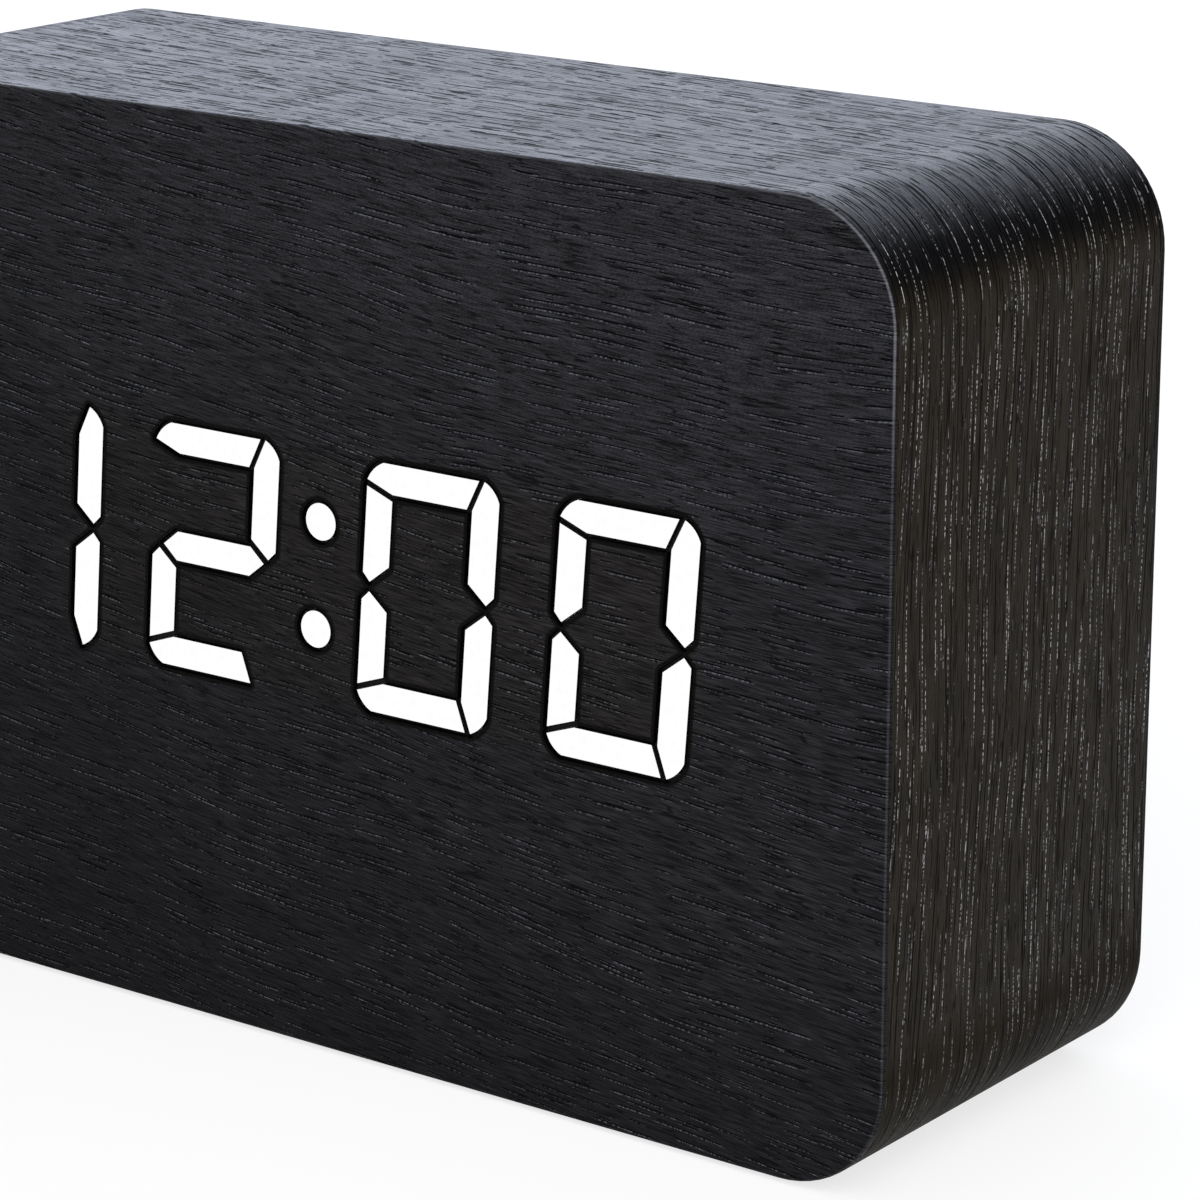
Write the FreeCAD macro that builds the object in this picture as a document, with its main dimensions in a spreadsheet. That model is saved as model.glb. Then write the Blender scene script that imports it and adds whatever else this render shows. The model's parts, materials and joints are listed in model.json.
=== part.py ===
"""A black wood-veneer brick clock with a light-segment display behind the veneer, in millimetres.

The clock stands on four thin pads. The origin is on the table under the middle of the case, +Z is
up, -Y is the way the display faces and +X is to the right of the display.

Most pieces are drawn in the face frame: x to the right, y up from the middle of the face, and z
forward from the middle of the case's depth, so a level is a distance in front of that middle.
"""

import FreeCAD, Part
import math
import os
import re

import Sketcher
from FreeCAD import Placement, Rotation, Vector

# The driving dimensions

DRIVING = (
    # Case
    ("case_width", 135.0),
    ("case_height", 90.0),
    ("case_depth", 45.0),
    ("case_corner_radius", 11.0),
    ("case_wall", 9.0),
    ("cavity_corner_radius", 8.0),
    ("veneer_thickness", 0.6),
    ("edge_round", 0.3),
    ("foot_thickness", 0.5),
    ("foot_radius", 4.5),
    ("foot_inset_x", 18.0),
    ("foot_inset_y", 9.0),
    # Front board and display window
    ("front_board_thickness", 3.0),
    ("front_board_inset", 5.0),
    ("display_margin", 2.4),
    ("window_corner_radius", 2.0),
    ("mask_thickness", 0.2),
    ("diffuser_thickness", 0.5),
    ("film_clearance", 0.2),
    # Digits
    ("upright_width", 3.05),
    ("bar_height", 2.9),
    ("segment_gap", 0.65),
    ("digit_corner_radius", 1.8),
    ("tip_inset", 0.85),
    ("tip_gap", 0.475),
    ("tip_outer_rise", 0.85),
    ("tip_inner_rise", 1.75),
    ("middle_bar_inset", 1.4),
    ("colon_dot_radius", 1.8),
    ("colon_dot_spacing", 10.6),
    ("window_rim", 0.38),
    ("lens_clearance", 0.05),
    ("lens_setback", 0.15),
    # Reflector and display board
    ("reflector_flange_thickness", 5.0),
    ("reflector_flange_overlap", 5.0),
    ("circuit_board_thickness", 1.6),
    ("display_screw_inset", 2.4),
    ("light_chip_length", 1.6),
    ("light_chip_width", 0.8),
    ("light_chip_height", 0.6),
    # Rear cover
    ("cover_margin", 4.1),
    ("cover_clearance", 0.25),
    ("cover_recess", 0.8),
    ("cover_thickness", 2.6),
    ("cover_screw_inset", 3.5),
    ("cover_screw_radius", 1.45),
    ("cover_screw_length", 12.0),
    ("screw_hole_clearance", 0.15),
    ("screw_head_ratio", 1.85),
    ("screw_head_rise", 1.1),
    ("screw_slot_width", 0.45),
    ("screw_slot_length", 1.7),
    ("screw_sink", 1.3),
    # Battery bay for three cells side by side
    ("cell_length", 44.5),
    ("cell_pitch", 10.8),
    ("bay_end_room", 3.0),
    ("bay_height_clearance", 0.2),
    ("bay_depth", 11.4),
    ("bay_wall", 1.6),
    ("bay_lip", 1.0),
    ("bay_side_room", 1.8),
    ("contact_thickness", 0.4),
    ("contact_width", 8.0),
    ("contact_rise", 8.0),
    ("contact_tab_width", 3.0),
    ("contact_tab_length", 2.0),
    ("slot_clearance", 0.1),
    ("spring_wire_radius", 0.3),
    ("spring_base_radius", 3.4),
    ("spring_tip_radius", 2.3),
    ("spring_pitch", 1.4),
    ("spring_turns", 4),
    # Battery door
    ("door_thickness", 1.1),
    ("door_ledge", 2.0),
    ("door_gap", 0.1),
    ("door_side_clearance", 0.3),
    ("door_travel", 7.0),
    ("door_end_room", 0.5),
    ("hook_offset", 14.0),
    ("hook_length", 6.0),
    ("hook_stem", 1.2),
    ("hook_foot", 0.8),
    ("hook_reach", 0.7),
    ("hook_clearance", 0.15),
    ("notch_clearance", 0.4),
    ("grip_rib_count", 5),
    ("grip_rib_pitch", 1.6),
    ("grip_rib_width", 0.7),
    ("grip_rib_length", 14.0),
    ("grip_rib_height", 0.35),
    # Control board and what stands on it
    ("control_side_room", 2.4),
    ("control_edge_room", 3.4),
    ("control_standoff", 6.5),
    ("control_post_radius", 2.5),
    ("control_screw_inset", 3.2),
    ("control_screw_radius", 0.95),
    ("control_screw_length", 6.0),
    ("button_radius", 4.0),
    ("button_clearance", 0.2),
    ("button_protrusion", 0.7),
    ("button_flange", 1.0),
    ("button_flange_overlap", 1.2),
    ("button_stem_radius", 2.0),
    ("button_round", 0.5),
    ("button_travel", 0.5),
    ("switch_size", 6.0),
    ("switch_height", 3.5),
    ("plunger_radius", 1.75),
    ("plunger_clearance", 0.1),
    ("plunger_height", 0.9),
    ("plunger_depth", 1.0),
    ("socket_width", 8.94),
    ("socket_height", 3.26),
    ("socket_wall", 0.3),
    ("socket_setback", 0.3),
    ("socket_base", 2.5),
    ("socket_clearance", 0.25),
    ("socket_tongue_thickness", 0.7),
    ("socket_tongue_width", 6.7),
    ("socket_tongue_setback", 1.0),
    ("buzzer_radius", 6.0),
    ("buzzer_height", 5.5),
    ("buzzer_mouth_radius", 1.0),
    ("buzzer_mouth_depth", 1.5),
    ("vent_radius", 0.7),
    ("vent_ring_radius", 3.2),
    ("vent_count", 6),
    ("cell_holder_radius", 12.0),
    ("cell_holder_height", 4.4),
    ("cell_holder_floor", 0.8),
    ("backup_cell_radius", 10.0),
    ("backup_cell_thickness", 3.2),
    ("backup_cell_round", 0.4),
    ("chip_length", 10.0),
    ("chip_width", 6.0),
    ("chip_height", 1.6),
    ("chip_leg_count", 8),
    ("chip_leg_width", 0.5),
    ("chip_leg_reach", 1.0),
    ("chip_leg_thickness", 0.2),
    ("crystal_radius", 1.0),
    ("crystal_length", 6.0),
    ("capacitor_radius", 2.5),
    ("capacitor_height", 7.0),
    ("capacitor_pitch", 7.0),
    ("resistor_length", 2.0),
    ("resistor_width", 1.25),
    ("resistor_height", 0.5),
    ("resistor_pitch", 3.0),
    ("resistor_count", 6),
    # Ribbon cable, its connectors and the battery leads
    ("ribbon_width", 12.0),
    ("ribbon_thickness", 0.9),
    ("ribbon_bend_radius", 5.0),
    ("ribbon_top_y", 14.0),
    ("ribbon_bottom_y", 2.0),
    ("ribbon_clearance", 0.1),
    ("connector_wall", 1.5),
    ("connector_height", 3.0),
    ("connector_floor", 1.0),
    ("lead_radius", 0.65),
    ("lead_bend_radius", 6.0),
    ("lead_start", 0.6),
    ("lead_landing_inset", 2.5),
)

DERIVED = (
    # Levels in front of the middle of the case's depth
    ("front_level", "=case_depth / 2"),
    ("board_front_level", "=front_level - veneer_thickness"),
    ("board_back_level", "=board_front_level - front_board_thickness"),
    ("diffuser_front_level", "=board_front_level - mask_thickness"),
    ("diffuser_back_level", "=diffuser_front_level - diffuser_thickness"),
    ("display_board_level", "=board_back_level - reflector_flange_thickness"),
    ("display_back_level", "=display_board_level - circuit_board_thickness"),
    ("rear_level", "=-case_depth / 2"),
    ("core_back_level", "=rear_level + veneer_thickness"),
    ("cover_outer_level", "=rear_level + cover_recess"),
    ("cover_inner_level", "=cover_outer_level + cover_thickness"),
    ("control_back_level", "=cover_inner_level + control_standoff"),
    ("control_front_level", "=control_back_level + circuit_board_thickness"),
    # Outlines
    ("core_width", "=case_width - 2 * veneer_thickness"),
    ("core_height", "=case_height - 2 * veneer_thickness"),
    ("core_corner_radius", "=case_corner_radius - veneer_thickness"),
    ("cavity_width", "=core_width - 2 * case_wall"),
    ("cavity_height", "=core_height - 2 * case_wall"),
    ("front_board_width", "=core_width - 2 * front_board_inset"),
    ("front_board_height", "=core_height - 2 * front_board_inset"),
    ("front_board_radius", "=core_corner_radius - front_board_inset"),
    ("rebate_width", "=case_width - 2 * cover_margin"),
    ("rebate_height", "=case_height - 2 * cover_margin"),
    ("rebate_radius", "=case_corner_radius - cover_margin"),
    ("cover_width", "=rebate_width - 2 * cover_clearance"),
    ("cover_height", "=rebate_height - 2 * cover_clearance"),
    ("cover_radius", "=rebate_radius - cover_clearance"),
    ("cover_screw_step", "=(cavity_corner_radius + cover_screw_inset) * 0.70710678 - cavity_corner_radius"),
    ("cover_screw_x", "=cavity_width / 2 + cover_screw_step"),
    ("cover_screw_y", "=cavity_height / 2 + cover_screw_step"),
    # Digits, which grow with the case
    ("digit_width", "=case_width * 0.1145"),
    ("digit_height", "=case_height * 0.27"),
    ("digit_lean", "=digit_height * 0.08"),
    ("digit_pitch", "=case_width * 0.166"),
    ("colon_pitch", "=case_width * 0.194"),
    ("display_shift_x", "=case_width * 0.025"),
    ("display_shift_y", "=case_height * 0.0267"),
    ("display_width", "=colon_pitch + 2 * digit_pitch + digit_width + digit_lean"),
    ("window_width", "=display_width + 2 * display_margin"),
    ("window_height", "=digit_height + 2 * display_margin"),
    ("flange_width", "=window_width + 2 * reflector_flange_overlap"),
    ("flange_height", "=window_height + 2 * reflector_flange_overlap"),
    ("display_screw_x", "=flange_width / 2 - display_screw_inset"),
    ("display_screw_y", "=flange_height / 2 - display_screw_inset"),
    ("driver_chip_x", "=-window_width * 0.275"),
    # Battery bay and door
    ("bay_length", "=cell_length + 2 * bay_end_room"),
    ("bay_offset_x", "=-cavity_width / 2 + bay_side_room + bay_wall + bay_length / 2"),
    ("door_opening_height", "=3 * cell_pitch + bay_height_clearance"),
    ("bay_height", "=door_opening_height + 2 * bay_lip"),
    ("door_seat_level", "=cover_outer_level + door_thickness + 2 * door_gap"),
    ("bay_floor_level", "=door_seat_level + bay_depth"),
    ("bay_back_level", "=bay_floor_level + bay_wall"),
    ("door_outer_level", "=cover_outer_level + door_gap"),
    ("door_inner_level", "=door_outer_level + door_thickness"),
    ("door_length", "=bay_length + 2 * door_ledge"),
    ("door_height", "=door_opening_height + 2 * door_ledge"),
    ("recess_length", "=door_length + 2 * door_side_clearance + door_travel + door_end_room"),
    ("recess_height", "=door_height + 2 * door_side_clearance"),
    ("recess_x", "=bay_offset_x + (door_travel + door_end_room) / 2"),
    ("foot_under_level", "=cover_inner_level + hook_clearance"),
    ("foot_top_level", "=foot_under_level + hook_foot"),
    ("cell_axis_level", "=bay_floor_level - cell_pitch / 2"),
    # Control board, which takes its share of the room beside the bay, and what stands on it
    ("control_room", "=cavity_width - bay_side_room - bay_length - 2 * bay_wall - control_side_room"),
    ("control_board_width", "=control_room * 0.7945"),
    ("control_board_height", "=cavity_height - 2 * control_edge_room"),
    ("control_board_x", "=cavity_width / 2 - control_side_room - control_board_width / 2"),
    ("button_pitch", "=control_board_width * 0.326"),
    ("button_rise", "=control_board_height * 0.3125"),
    ("socket_x", "=control_board_width * 0.261"),
    ("socket_y", "=-control_board_height * 0.328"),
    ("buzzer_x", "=-control_board_width * 0.24"),
    ("buzzer_y", "=-control_board_height * 0.219"),
    ("cell_holder_x", "=control_board_width * 0.2"),
    ("cell_holder_y", "=-control_board_height * 0.1875"),
    ("clock_chip_x", "=-control_board_width * 0.304"),
    ("clock_chip_y", "=-control_board_height * 0.266"),
    ("crystal_y", "=-control_board_height * 0.383"),
    ("capacitor_x", "=control_board_width * 0.174"),
    ("capacitor_y", "=control_board_height * 0.3125"),
    ("resistor_y", "=control_board_height * 0.39"),
    ("ribbon_x", "=control_board_x - control_board_width * 0.272"),
    ("lead_landing_x", "=control_board_x - control_board_width / 2 + lead_landing_inset"),
    # Buttons and switches
    ("switch_top_level", "=control_back_level - switch_height"),
    ("plunger_top_level", "=switch_top_level - plunger_height"),
    ("flange_back_level", "=cover_inner_level + button_flange"),
    ("control_screw_x", "=control_board_width / 2 - control_screw_inset"),
    ("control_screw_y", "=control_board_height / 2 - control_screw_inset"),
    ("socket_mouth_level", "=cover_outer_level + socket_setback"),
    ("vent_level", "=control_back_level - buzzer_height"),
)

CORNERS = ((-1, -1), (1, -1), (1, 1), (-1, 1))

doc = FreeCAD.newDocument("brick_clock")
sizes = doc.addObject("Spreadsheet::Sheet", "Sizes")
for row, (alias, number) in enumerate(DRIVING + DERIVED, start=1):
    sizes.set("A%d" % row, alias)
    sizes.set("B%d" % row, str(number))
    sizes.setAlias("B%d" % row, alias)
doc.recompute()

SIZE_NAMES = {alias for alias, number in DRIVING + DERIVED}
parts = []


def in_sheet(text):
    """Write a sum of size names so that any object of the document can read it."""
    def prefix(match):
        return "Sizes." + match.group(0) if match.group(0) in SIZE_NAMES else match.group(0)
    return re.sub(r"[a-z][a-z_]*", prefix, text)


def value(text):
    """The number that a sum of size names gives now."""
    return float(sizes.evalExpression(in_sheet(text)))


def bind(target, prop, text):
    """Tie a property of an object to a sum of size names."""
    target.setExpression(prop, in_sheet(text))


def face_placement():
    """The face frame: x to the right, y up and z out of the front."""
    middle = Vector(0, 0, value("foot_thickness + case_height / 2"))
    return Placement(middle, Rotation(Vector(1, 0, 0), 90))


# Sketches

def new_body(label):
    """A body in the face frame, which is also the sub-part of that name."""
    body = doc.addObject("PartDesign::Body", label)
    body.Label = label
    body.Placement = face_placement()
    bind(body, "Placement.Base.z", "foot_thickness + case_height / 2")
    return body


def new_sketch(body, name, level):
    """A sketch parallel to the face at a level of the body's own frame."""
    sketch = body.newObject("Sketcher::SketchObject", name)
    plane = next(item for item in body.Origin.OriginFeatures if item.Role == "XY_Plane")
    sketch.AttachmentSupport = [(plane, "")]
    sketch.MapMode = "FlatFace"
    bind(sketch, "AttachmentOffset.Base.z", level)
    return sketch


def constrain(sketch, kind, *args):
    """Add a constraint whose last argument is a sum of size names."""
    text = args[-1]
    index = sketch.addConstraint(Sketcher.Constraint(kind, *args[:-1], value(text)))
    bind(sketch, "Constraints[%d]" % index, text)


def circle(sketch, radius, x="0", y="0"):
    """A circle about (x, y)."""
    centre = Vector(value(x), value(y), 0)
    geo = sketch.addGeometry(Part.Circle(centre, Vector(0, 0, 1), value(radius)), False)
    constrain(sketch, "Radius", geo, radius)
    constrain(sketch, "DistanceX", -1, 1, geo, 3, x)
    constrain(sketch, "DistanceY", -1, 1, geo, 3, y)


def rectangle(sketch, width, height, x="0", y="0"):
    """A rectangle about (x, y)."""
    half = Vector(value(width) / 2, value(height) / 2, 0)
    middle = Vector(value(x), value(y), 0)
    corner = [middle + Vector(sx * half.x, sy * half.y, 0) for sx, sy in CORNERS]
    base = sketch.GeometryCount
    for index in range(4):
        sketch.addGeometry(Part.LineSegment(corner[index], corner[(index + 1) % 4]), False)
    bottom, right, top, left = range(base, base + 4)
    for index in range(4):
        after = base + (index + 1) % 4
        sketch.addConstraint(Sketcher.Constraint("Coincident", base + index, 2, after, 1))
    for line in (bottom, top):
        sketch.addConstraint(Sketcher.Constraint("Horizontal", line))
    for line in (right, left):
        sketch.addConstraint(Sketcher.Constraint("Vertical", line))
    size_and_place(sketch, (bottom, right, top, left), width, height, x, y)


def rounded_rectangle(sketch, width, height, radius, x="0", y="0"):
    """A rectangle about (x, y) with round corners."""
    r = value(radius)
    half = Vector(value(width) / 2, value(height) / 2, 0)
    middle = Vector(value(x), value(y), 0)
    base = sketch.GeometryCount
    for index in range(4):
        here = CORNERS[index]
        there = CORNERS[(index + 1) % 4]
        angle = (index - 1) * math.pi / 2
        along = Vector(there[0] - here[0], there[1] - here[1], 0).normalize()
        start = middle + Vector(here[0] * half.x, here[1] * half.y, 0) + along * r
        end = middle + Vector(there[0] * half.x, there[1] * half.y, 0) - along * r
        sketch.addGeometry(Part.LineSegment(start, end), False)
        centre = middle + Vector(there[0] * (half.x - r), there[1] * (half.y - r), 0)
        ring = Part.Circle(centre, Vector(0, 0, 1), r)
        sketch.addGeometry(Part.ArcOfCircle(ring, angle, angle + math.pi / 2), False)
    for index in range(8):
        after = base + (index + 1) % 8
        sketch.addConstraint(Sketcher.Constraint("Tangent", base + index, 2, after, 1))
    bottom, right, top, left = range(base, base + 8, 2)
    for line in (bottom, top):
        sketch.addConstraint(Sketcher.Constraint("Horizontal", line))
    for line in (right, left):
        sketch.addConstraint(Sketcher.Constraint("Vertical", line))
    for arc in range(base + 3, base + 8, 2):
        sketch.addConstraint(Sketcher.Constraint("Equal", base + 1, arc))
    constrain(sketch, "Radius", base + 1, radius)
    size_and_place(sketch, (bottom, right, top, left), width, height, x, y)


def size_and_place(sketch, sides, width, height, x, y):
    """Give the four sides of a rectangle their distances apart and their place."""
    bottom, right, top, left = sides
    constrain(sketch, "DistanceX", left, 1, right, 1, width)
    constrain(sketch, "DistanceY", bottom, 1, top, 1, height)
    constrain(sketch, "DistanceX", -1, 1, left, 1, "%s - (%s) / 2" % (x, width))
    constrain(sketch, "DistanceY", -1, 1, bottom, 1, "%s - (%s) / 2" % (y, height))


def pad(body, sketch, length):
    """Raise a sketch forward by a length."""
    feature = body.newObject("PartDesign::Pad", sketch.Name + "_pad")
    feature.Profile = sketch
    bind(feature, "Length", length)
    return feature


def pocket(body, sketch, depth):
    """Cut a sketch backward by a depth."""
    feature = body.newObject("PartDesign::Pocket", sketch.Name + "_cut")
    feature.Profile = sketch
    bind(feature, "Length", depth)
    return feature


def round_edges(body, feature, level, radius):
    """Round the edges of a feature that lie wholly at one level."""
    doc.recompute()
    height = value(level)
    names = []
    for index, edge in enumerate(feature.Shape.Edges, start=1):
        box = edge.BoundBox
        if abs(box.ZMin - height) < 1e-4 and abs(box.ZMax - height) < 1e-4:
            names.append("Edge%d" % index)
    fillet = body.newObject("PartDesign::Fillet", body.Name + "_round")
    fillet.Base = (feature, names)
    bind(fillet, "Radius", radius)
    return fillet


def slab(label, outline, low, high):
    """A body whose outline is drawn by a function and raised from one level to another."""
    body = new_body(label)
    sketch = new_sketch(body, label + "_outline", low)
    outline(sketch)
    feature = pad(body, sketch, "(%s) - (%s)" % (high, low))
    return body, feature


def cut_slab(body, name, outline, low, high):
    """Cut an outline out of a body from one level down to another."""
    sketch = new_sketch(body, name, high)
    outline(sketch)
    return pocket(body, sketch, "(%s) - (%s)" % (high, low))


def add_slab(body, name, outline, low, high):
    """Add an outline to a body from one level up to another."""
    sketch = new_sketch(body, name, low)
    outline(sketch)
    return pad(body, sketch, "(%s) - (%s)" % (high, low))


def four_corners(x, y, middle_x="0", middle_y="0"):
    """The four corner places at plus and minus (x, y) about a middle."""
    for sx, sy in CORNERS:
        yield "%s + %d * (%s)" % (middle_x, sx, x), "%s + %d * (%s)" % (middle_y, sy, y)


def keep(item):
    """Take an object as a finished sub-part."""
    parts.append(item)
    return item


def plain_feature(label, shape):
    """A sub-part whose shape is worked out from the sheet, placed in the face frame."""
    feature = doc.addObject("Part::Feature", label)
    feature.Label = label
    feature.Shape = shape
    feature.Placement = face_placement()
    return feature


def cut_object(label, base, tool):
    """One object less another."""
    feature = doc.addObject("Part::Cut", label)
    feature.Label = label
    feature.Base = base
    feature.Tool = tool
    return feature


# Digit segments, worked out in a digit's own upright frame

DIGIT_WIDTH = value("digit_width")
DIGIT_HEIGHT = value("digit_height")
DIGIT_MIDDLE = DIGIT_HEIGHT / 2
LEAN = value("digit_lean") / DIGIT_HEIGHT
# How far in a segment's outer corner is cut at its middle, as a share of the corner's radius:
# 0.29 is a quarter circle and 0.5 a straight cut
CORNER_SHARE = 0.4


def upper_bar():
    """Points of the top bar; its outer corner is an arc through the point between."""
    radius = value("digit_corner_radius")
    upright = value("upright_width")
    inner = DIGIT_HEIGHT - value("bar_height")
    gap = value("segment_gap")
    bulge = radius * CORNER_SHARE
    return [
        (0, DIGIT_HEIGHT - radius),
        ("through", bulge, DIGIT_HEIGHT - bulge),
        (radius, DIGIT_HEIGHT),
        (DIGIT_WIDTH - radius - gap, DIGIT_HEIGHT),
        (DIGIT_WIDTH - upright - gap, inner),
        (upright, inner),
    ]


def upper_left_upright():
    """Points of the upper left upright, which ends in an off-centre tip."""
    upright = value("upright_width")
    gap = value("segment_gap")
    outer = DIGIT_HEIGHT - value("digit_corner_radius") - gap
    inner = DIGIT_HEIGHT - value("bar_height") - gap
    tip = DIGIT_MIDDLE + value("tip_gap")
    return [
        (0, outer),
        (upright, inner),
        (upright, tip + value("tip_inner_rise")),
        (value("tip_inset"), tip),
        (0, tip + value("tip_outer_rise")),
    ]


def upper_right_upright():
    """Points of the upper right upright, which takes in the round corner."""
    radius = value("digit_corner_radius")
    upright = value("upright_width")
    tip = DIGIT_MIDDLE + value("tip_gap")
    bulge = radius * CORNER_SHARE
    return [
        (DIGIT_WIDTH - radius, DIGIT_HEIGHT),
        ("through", DIGIT_WIDTH - bulge, DIGIT_HEIGHT - bulge),
        (DIGIT_WIDTH, DIGIT_HEIGHT - radius),
        (DIGIT_WIDTH, tip + value("tip_outer_rise")),
        (DIGIT_WIDTH - value("tip_inset"), tip),
        (DIGIT_WIDTH - upright, tip + value("tip_inner_rise")),
        (DIGIT_WIDTH - upright, DIGIT_HEIGHT - value("bar_height")),
    ]


def middle_bar():
    """Points of the middle bar, a long hexagon."""
    inset = value("middle_bar_inset")
    half = value("bar_height") / 2
    shoulder = inset + 1.2 * half
    return [
        (inset, DIGIT_MIDDLE),
        (shoulder, DIGIT_MIDDLE + half),
        (DIGIT_WIDTH - shoulder, DIGIT_MIDDLE + half),
        (DIGIT_WIDTH - inset, DIGIT_MIDDLE),
        (DIGIT_WIDTH - shoulder, DIGIT_MIDDLE - half),
        (shoulder, DIGIT_MIDDLE - half),
    ]


def upside_down(points):
    """Mirror a segment about the digit's mid-height."""
    return [point[:-1] + (DIGIT_HEIGHT - point[-1],) for point in points]


SEGMENTS = {
    "top": upper_bar(),
    "upper_left": upper_left_upright(),
    "upper_right": upper_right_upright(),
    "middle": middle_bar(),
    "lower_left": upside_down(upper_left_upright()),
    "lower_right": upside_down(upper_right_upright()),
    "bottom": upside_down(upper_bar()),
}
ALL_SEGMENTS = tuple(SEGMENTS)
LIT = {
    "hour_tens": ("upper_right", "lower_right"),
    "hour_units": ("top", "upper_right", "middle", "lower_left", "bottom"),
    "minute_tens": ("top", "upper_left", "upper_right", "lower_left", "lower_right", "bottom"),
    "minute_units": ("top", "upper_left", "upper_right", "lower_left", "lower_right", "bottom"),
}
HALF_SPAN = value("colon_pitch / 2")
PITCH = value("digit_pitch")
DIGIT_X = {
    "hour_tens": -HALF_SPAN - PITCH,
    "hour_units": -HALF_SPAN,
    "minute_tens": HALF_SPAN,
    "minute_units": HALF_SPAN + PITCH,
}
DISPLAY_X = value("display_shift_x")
DISPLAY_Y = value("display_shift_y")


def on_face(digit, across, up):
    """A point of a digit's own frame in the face frame, leaned over."""
    x = DISPLAY_X + DIGIT_X[digit] + across - DIGIT_WIDTH / 2 + LEAN * (up - DIGIT_MIDDLE)
    return Vector(x, DISPLAY_Y + up - DIGIT_MIDDLE, 0)


def segment_face(digit, name, growth=0.0):
    """The flat outline of one segment, grown all round by a distance."""
    points = SEGMENTS[name]
    edges = []
    count = len(points)
    for index, point in enumerate(points):
        after = points[(index + 1) % count]
        if point[0] == "through":
            continue
        start = on_face(digit, *point)
        if after[0] == "through":
            beyond = points[(index + 2) % count]
            bulge = on_face(digit, after[1], after[2])
            edges.append(Part.Arc(start, bulge, on_face(digit, *beyond)).toShape())
        else:
            edges.append(Part.LineSegment(start, on_face(digit, *after)).toShape())
    face = Part.Face(Part.Wire(edges))
    if face.normalAt(0, 0).z < 0:
        face.reverse()
    return face.makeOffset2D(growth) if growth else face


def colon_faces(growth=0.0):
    """The two flat discs of the colon, grown all round by a distance."""
    half = value("colon_dot_spacing / 2")
    faces = []
    for side in (-1, 1):
        centre = Vector(DISPLAY_X + LEAN * side * half, DISPLAY_Y + side * half, 0)
        ring = Part.Circle(centre, Vector(0, 0, 1), value("colon_dot_radius") + growth)
        faces.append(Part.Face(Part.Wire(ring.toShape())))
    return faces


def raise_faces(faces, low, high):
    """Raise flat faces from one level to another."""
    bottom = value(low)
    height = value(high) - bottom
    solids = []
    for face in faces:
        moved = face.copy()
        moved.translate(Vector(0, 0, bottom))
        solids.append(moved.extrude(Vector(0, 0, height)))
    return solids


def lit_faces(growth=0.0):
    """Every lit segment and both dots of the colon."""
    faces = [segment_face(digit, name, growth) for digit in LIT for name in LIT[digit]]
    return faces + colon_faces(growth)


def every_face(growth=0.0):
    """Every segment of every digit and both dots of the colon."""
    faces = [segment_face(digit, name, growth) for digit in LIT for name in ALL_SEGMENTS]
    return faces + colon_faces(growth)


# Case

def make_case_core():
    """The MDF block: a rounded ring with rebates for the front board and the rear cover."""
    body, ring = slab(
        "case_core",
        lambda s: rounded_rectangle(s, "core_width", "core_height", "core_corner_radius"),
        "core_back_level", "board_front_level")
    cut_slab(
        body, "cavity",
        lambda s: rounded_rectangle(s, "cavity_width", "cavity_height", "cavity_corner_radius"),
        "core_back_level", "board_front_level")
    cut_slab(
        body, "front_rebate",
        lambda s: rounded_rectangle(
            s, "front_board_width", "front_board_height", "front_board_radius"),
        "board_back_level", "board_front_level")
    cut_slab(
        body, "rear_rebate",
        lambda s: rounded_rectangle(s, "rebate_width", "rebate_height", "rebate_radius"),
        "core_back_level", "cover_inner_level")

    def pilots(sketch):
        for x, y in four_corners("cover_screw_x", "cover_screw_y"):
            circle(sketch, "cover_screw_radius", x, y)
    bite = "cover_outer_level + screw_sink + cover_screw_length"
    cut_slab(body, "cover_pilots", pilots, "cover_inner_level", bite)
    return keep(body)


def case_outline(sketch):
    """The rounded outline of the whole clock, seen from the front."""
    rounded_rectangle(sketch, "case_width", "case_height", "case_corner_radius")


def make_wrap_veneer():
    """The veneer strip that goes round the top, the sides and the bottom."""
    body, sheet = slab("wrap_veneer", case_outline, "core_back_level", "board_front_level")
    cut_slab(
        body, "wrap_inside",
        lambda s: rounded_rectangle(s, "core_width", "core_height", "core_corner_radius"),
        "core_back_level", "board_front_level")
    return keep(body)


def make_front_veneer():
    """The face veneer, with a window a little larger than each lit segment."""
    body, sheet = slab("front_veneer_blank", case_outline, "board_front_level", "front_level")
    round_edges(body, sheet, "front_level", "edge_round")
    windows = lit_faces(value("window_rim"))
    joined = windows[0].multiFuse(windows[1:]).removeSplitter()
    above = "front_level + veneer_thickness"
    below = "board_front_level - veneer_thickness"
    tool = plain_feature("veneer_windows", Part.Compound(raise_faces(joined.Faces, below, above)))
    return keep(cut_object("front_veneer", body, tool))


def make_rear_veneer():
    """The veneer rim round the rear cover."""
    body, sheet = slab("rear_veneer", case_outline, "rear_level", "core_back_level")
    opening = cut_slab(
        body, "rear_opening",
        lambda s: rounded_rectangle(s, "rebate_width", "rebate_height", "rebate_radius"),
        "rear_level", "core_back_level")
    doc.recompute()
    low = value("rear_level")
    edge_box = value("rebate_width") / 2 + 1
    names = []
    for index, edge in enumerate(opening.Shape.Edges, start=1):
        box = edge.BoundBox
        outside = max(abs(box.XMin), abs(box.XMax)) > edge_box
        upper = max(abs(box.YMin), abs(box.YMax)) > value("rebate_height") / 2 + 1
        if abs(box.ZMin - low) < 1e-4 and abs(box.ZMax - low) < 1e-4 and (outside or upper):
            names.append("Edge%d" % index)
    fillet = body.newObject("PartDesign::Fillet", "rear_round")
    fillet.Base = (opening, names)
    bind(fillet, "Radius", "edge_round")
    return keep(body)


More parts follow.
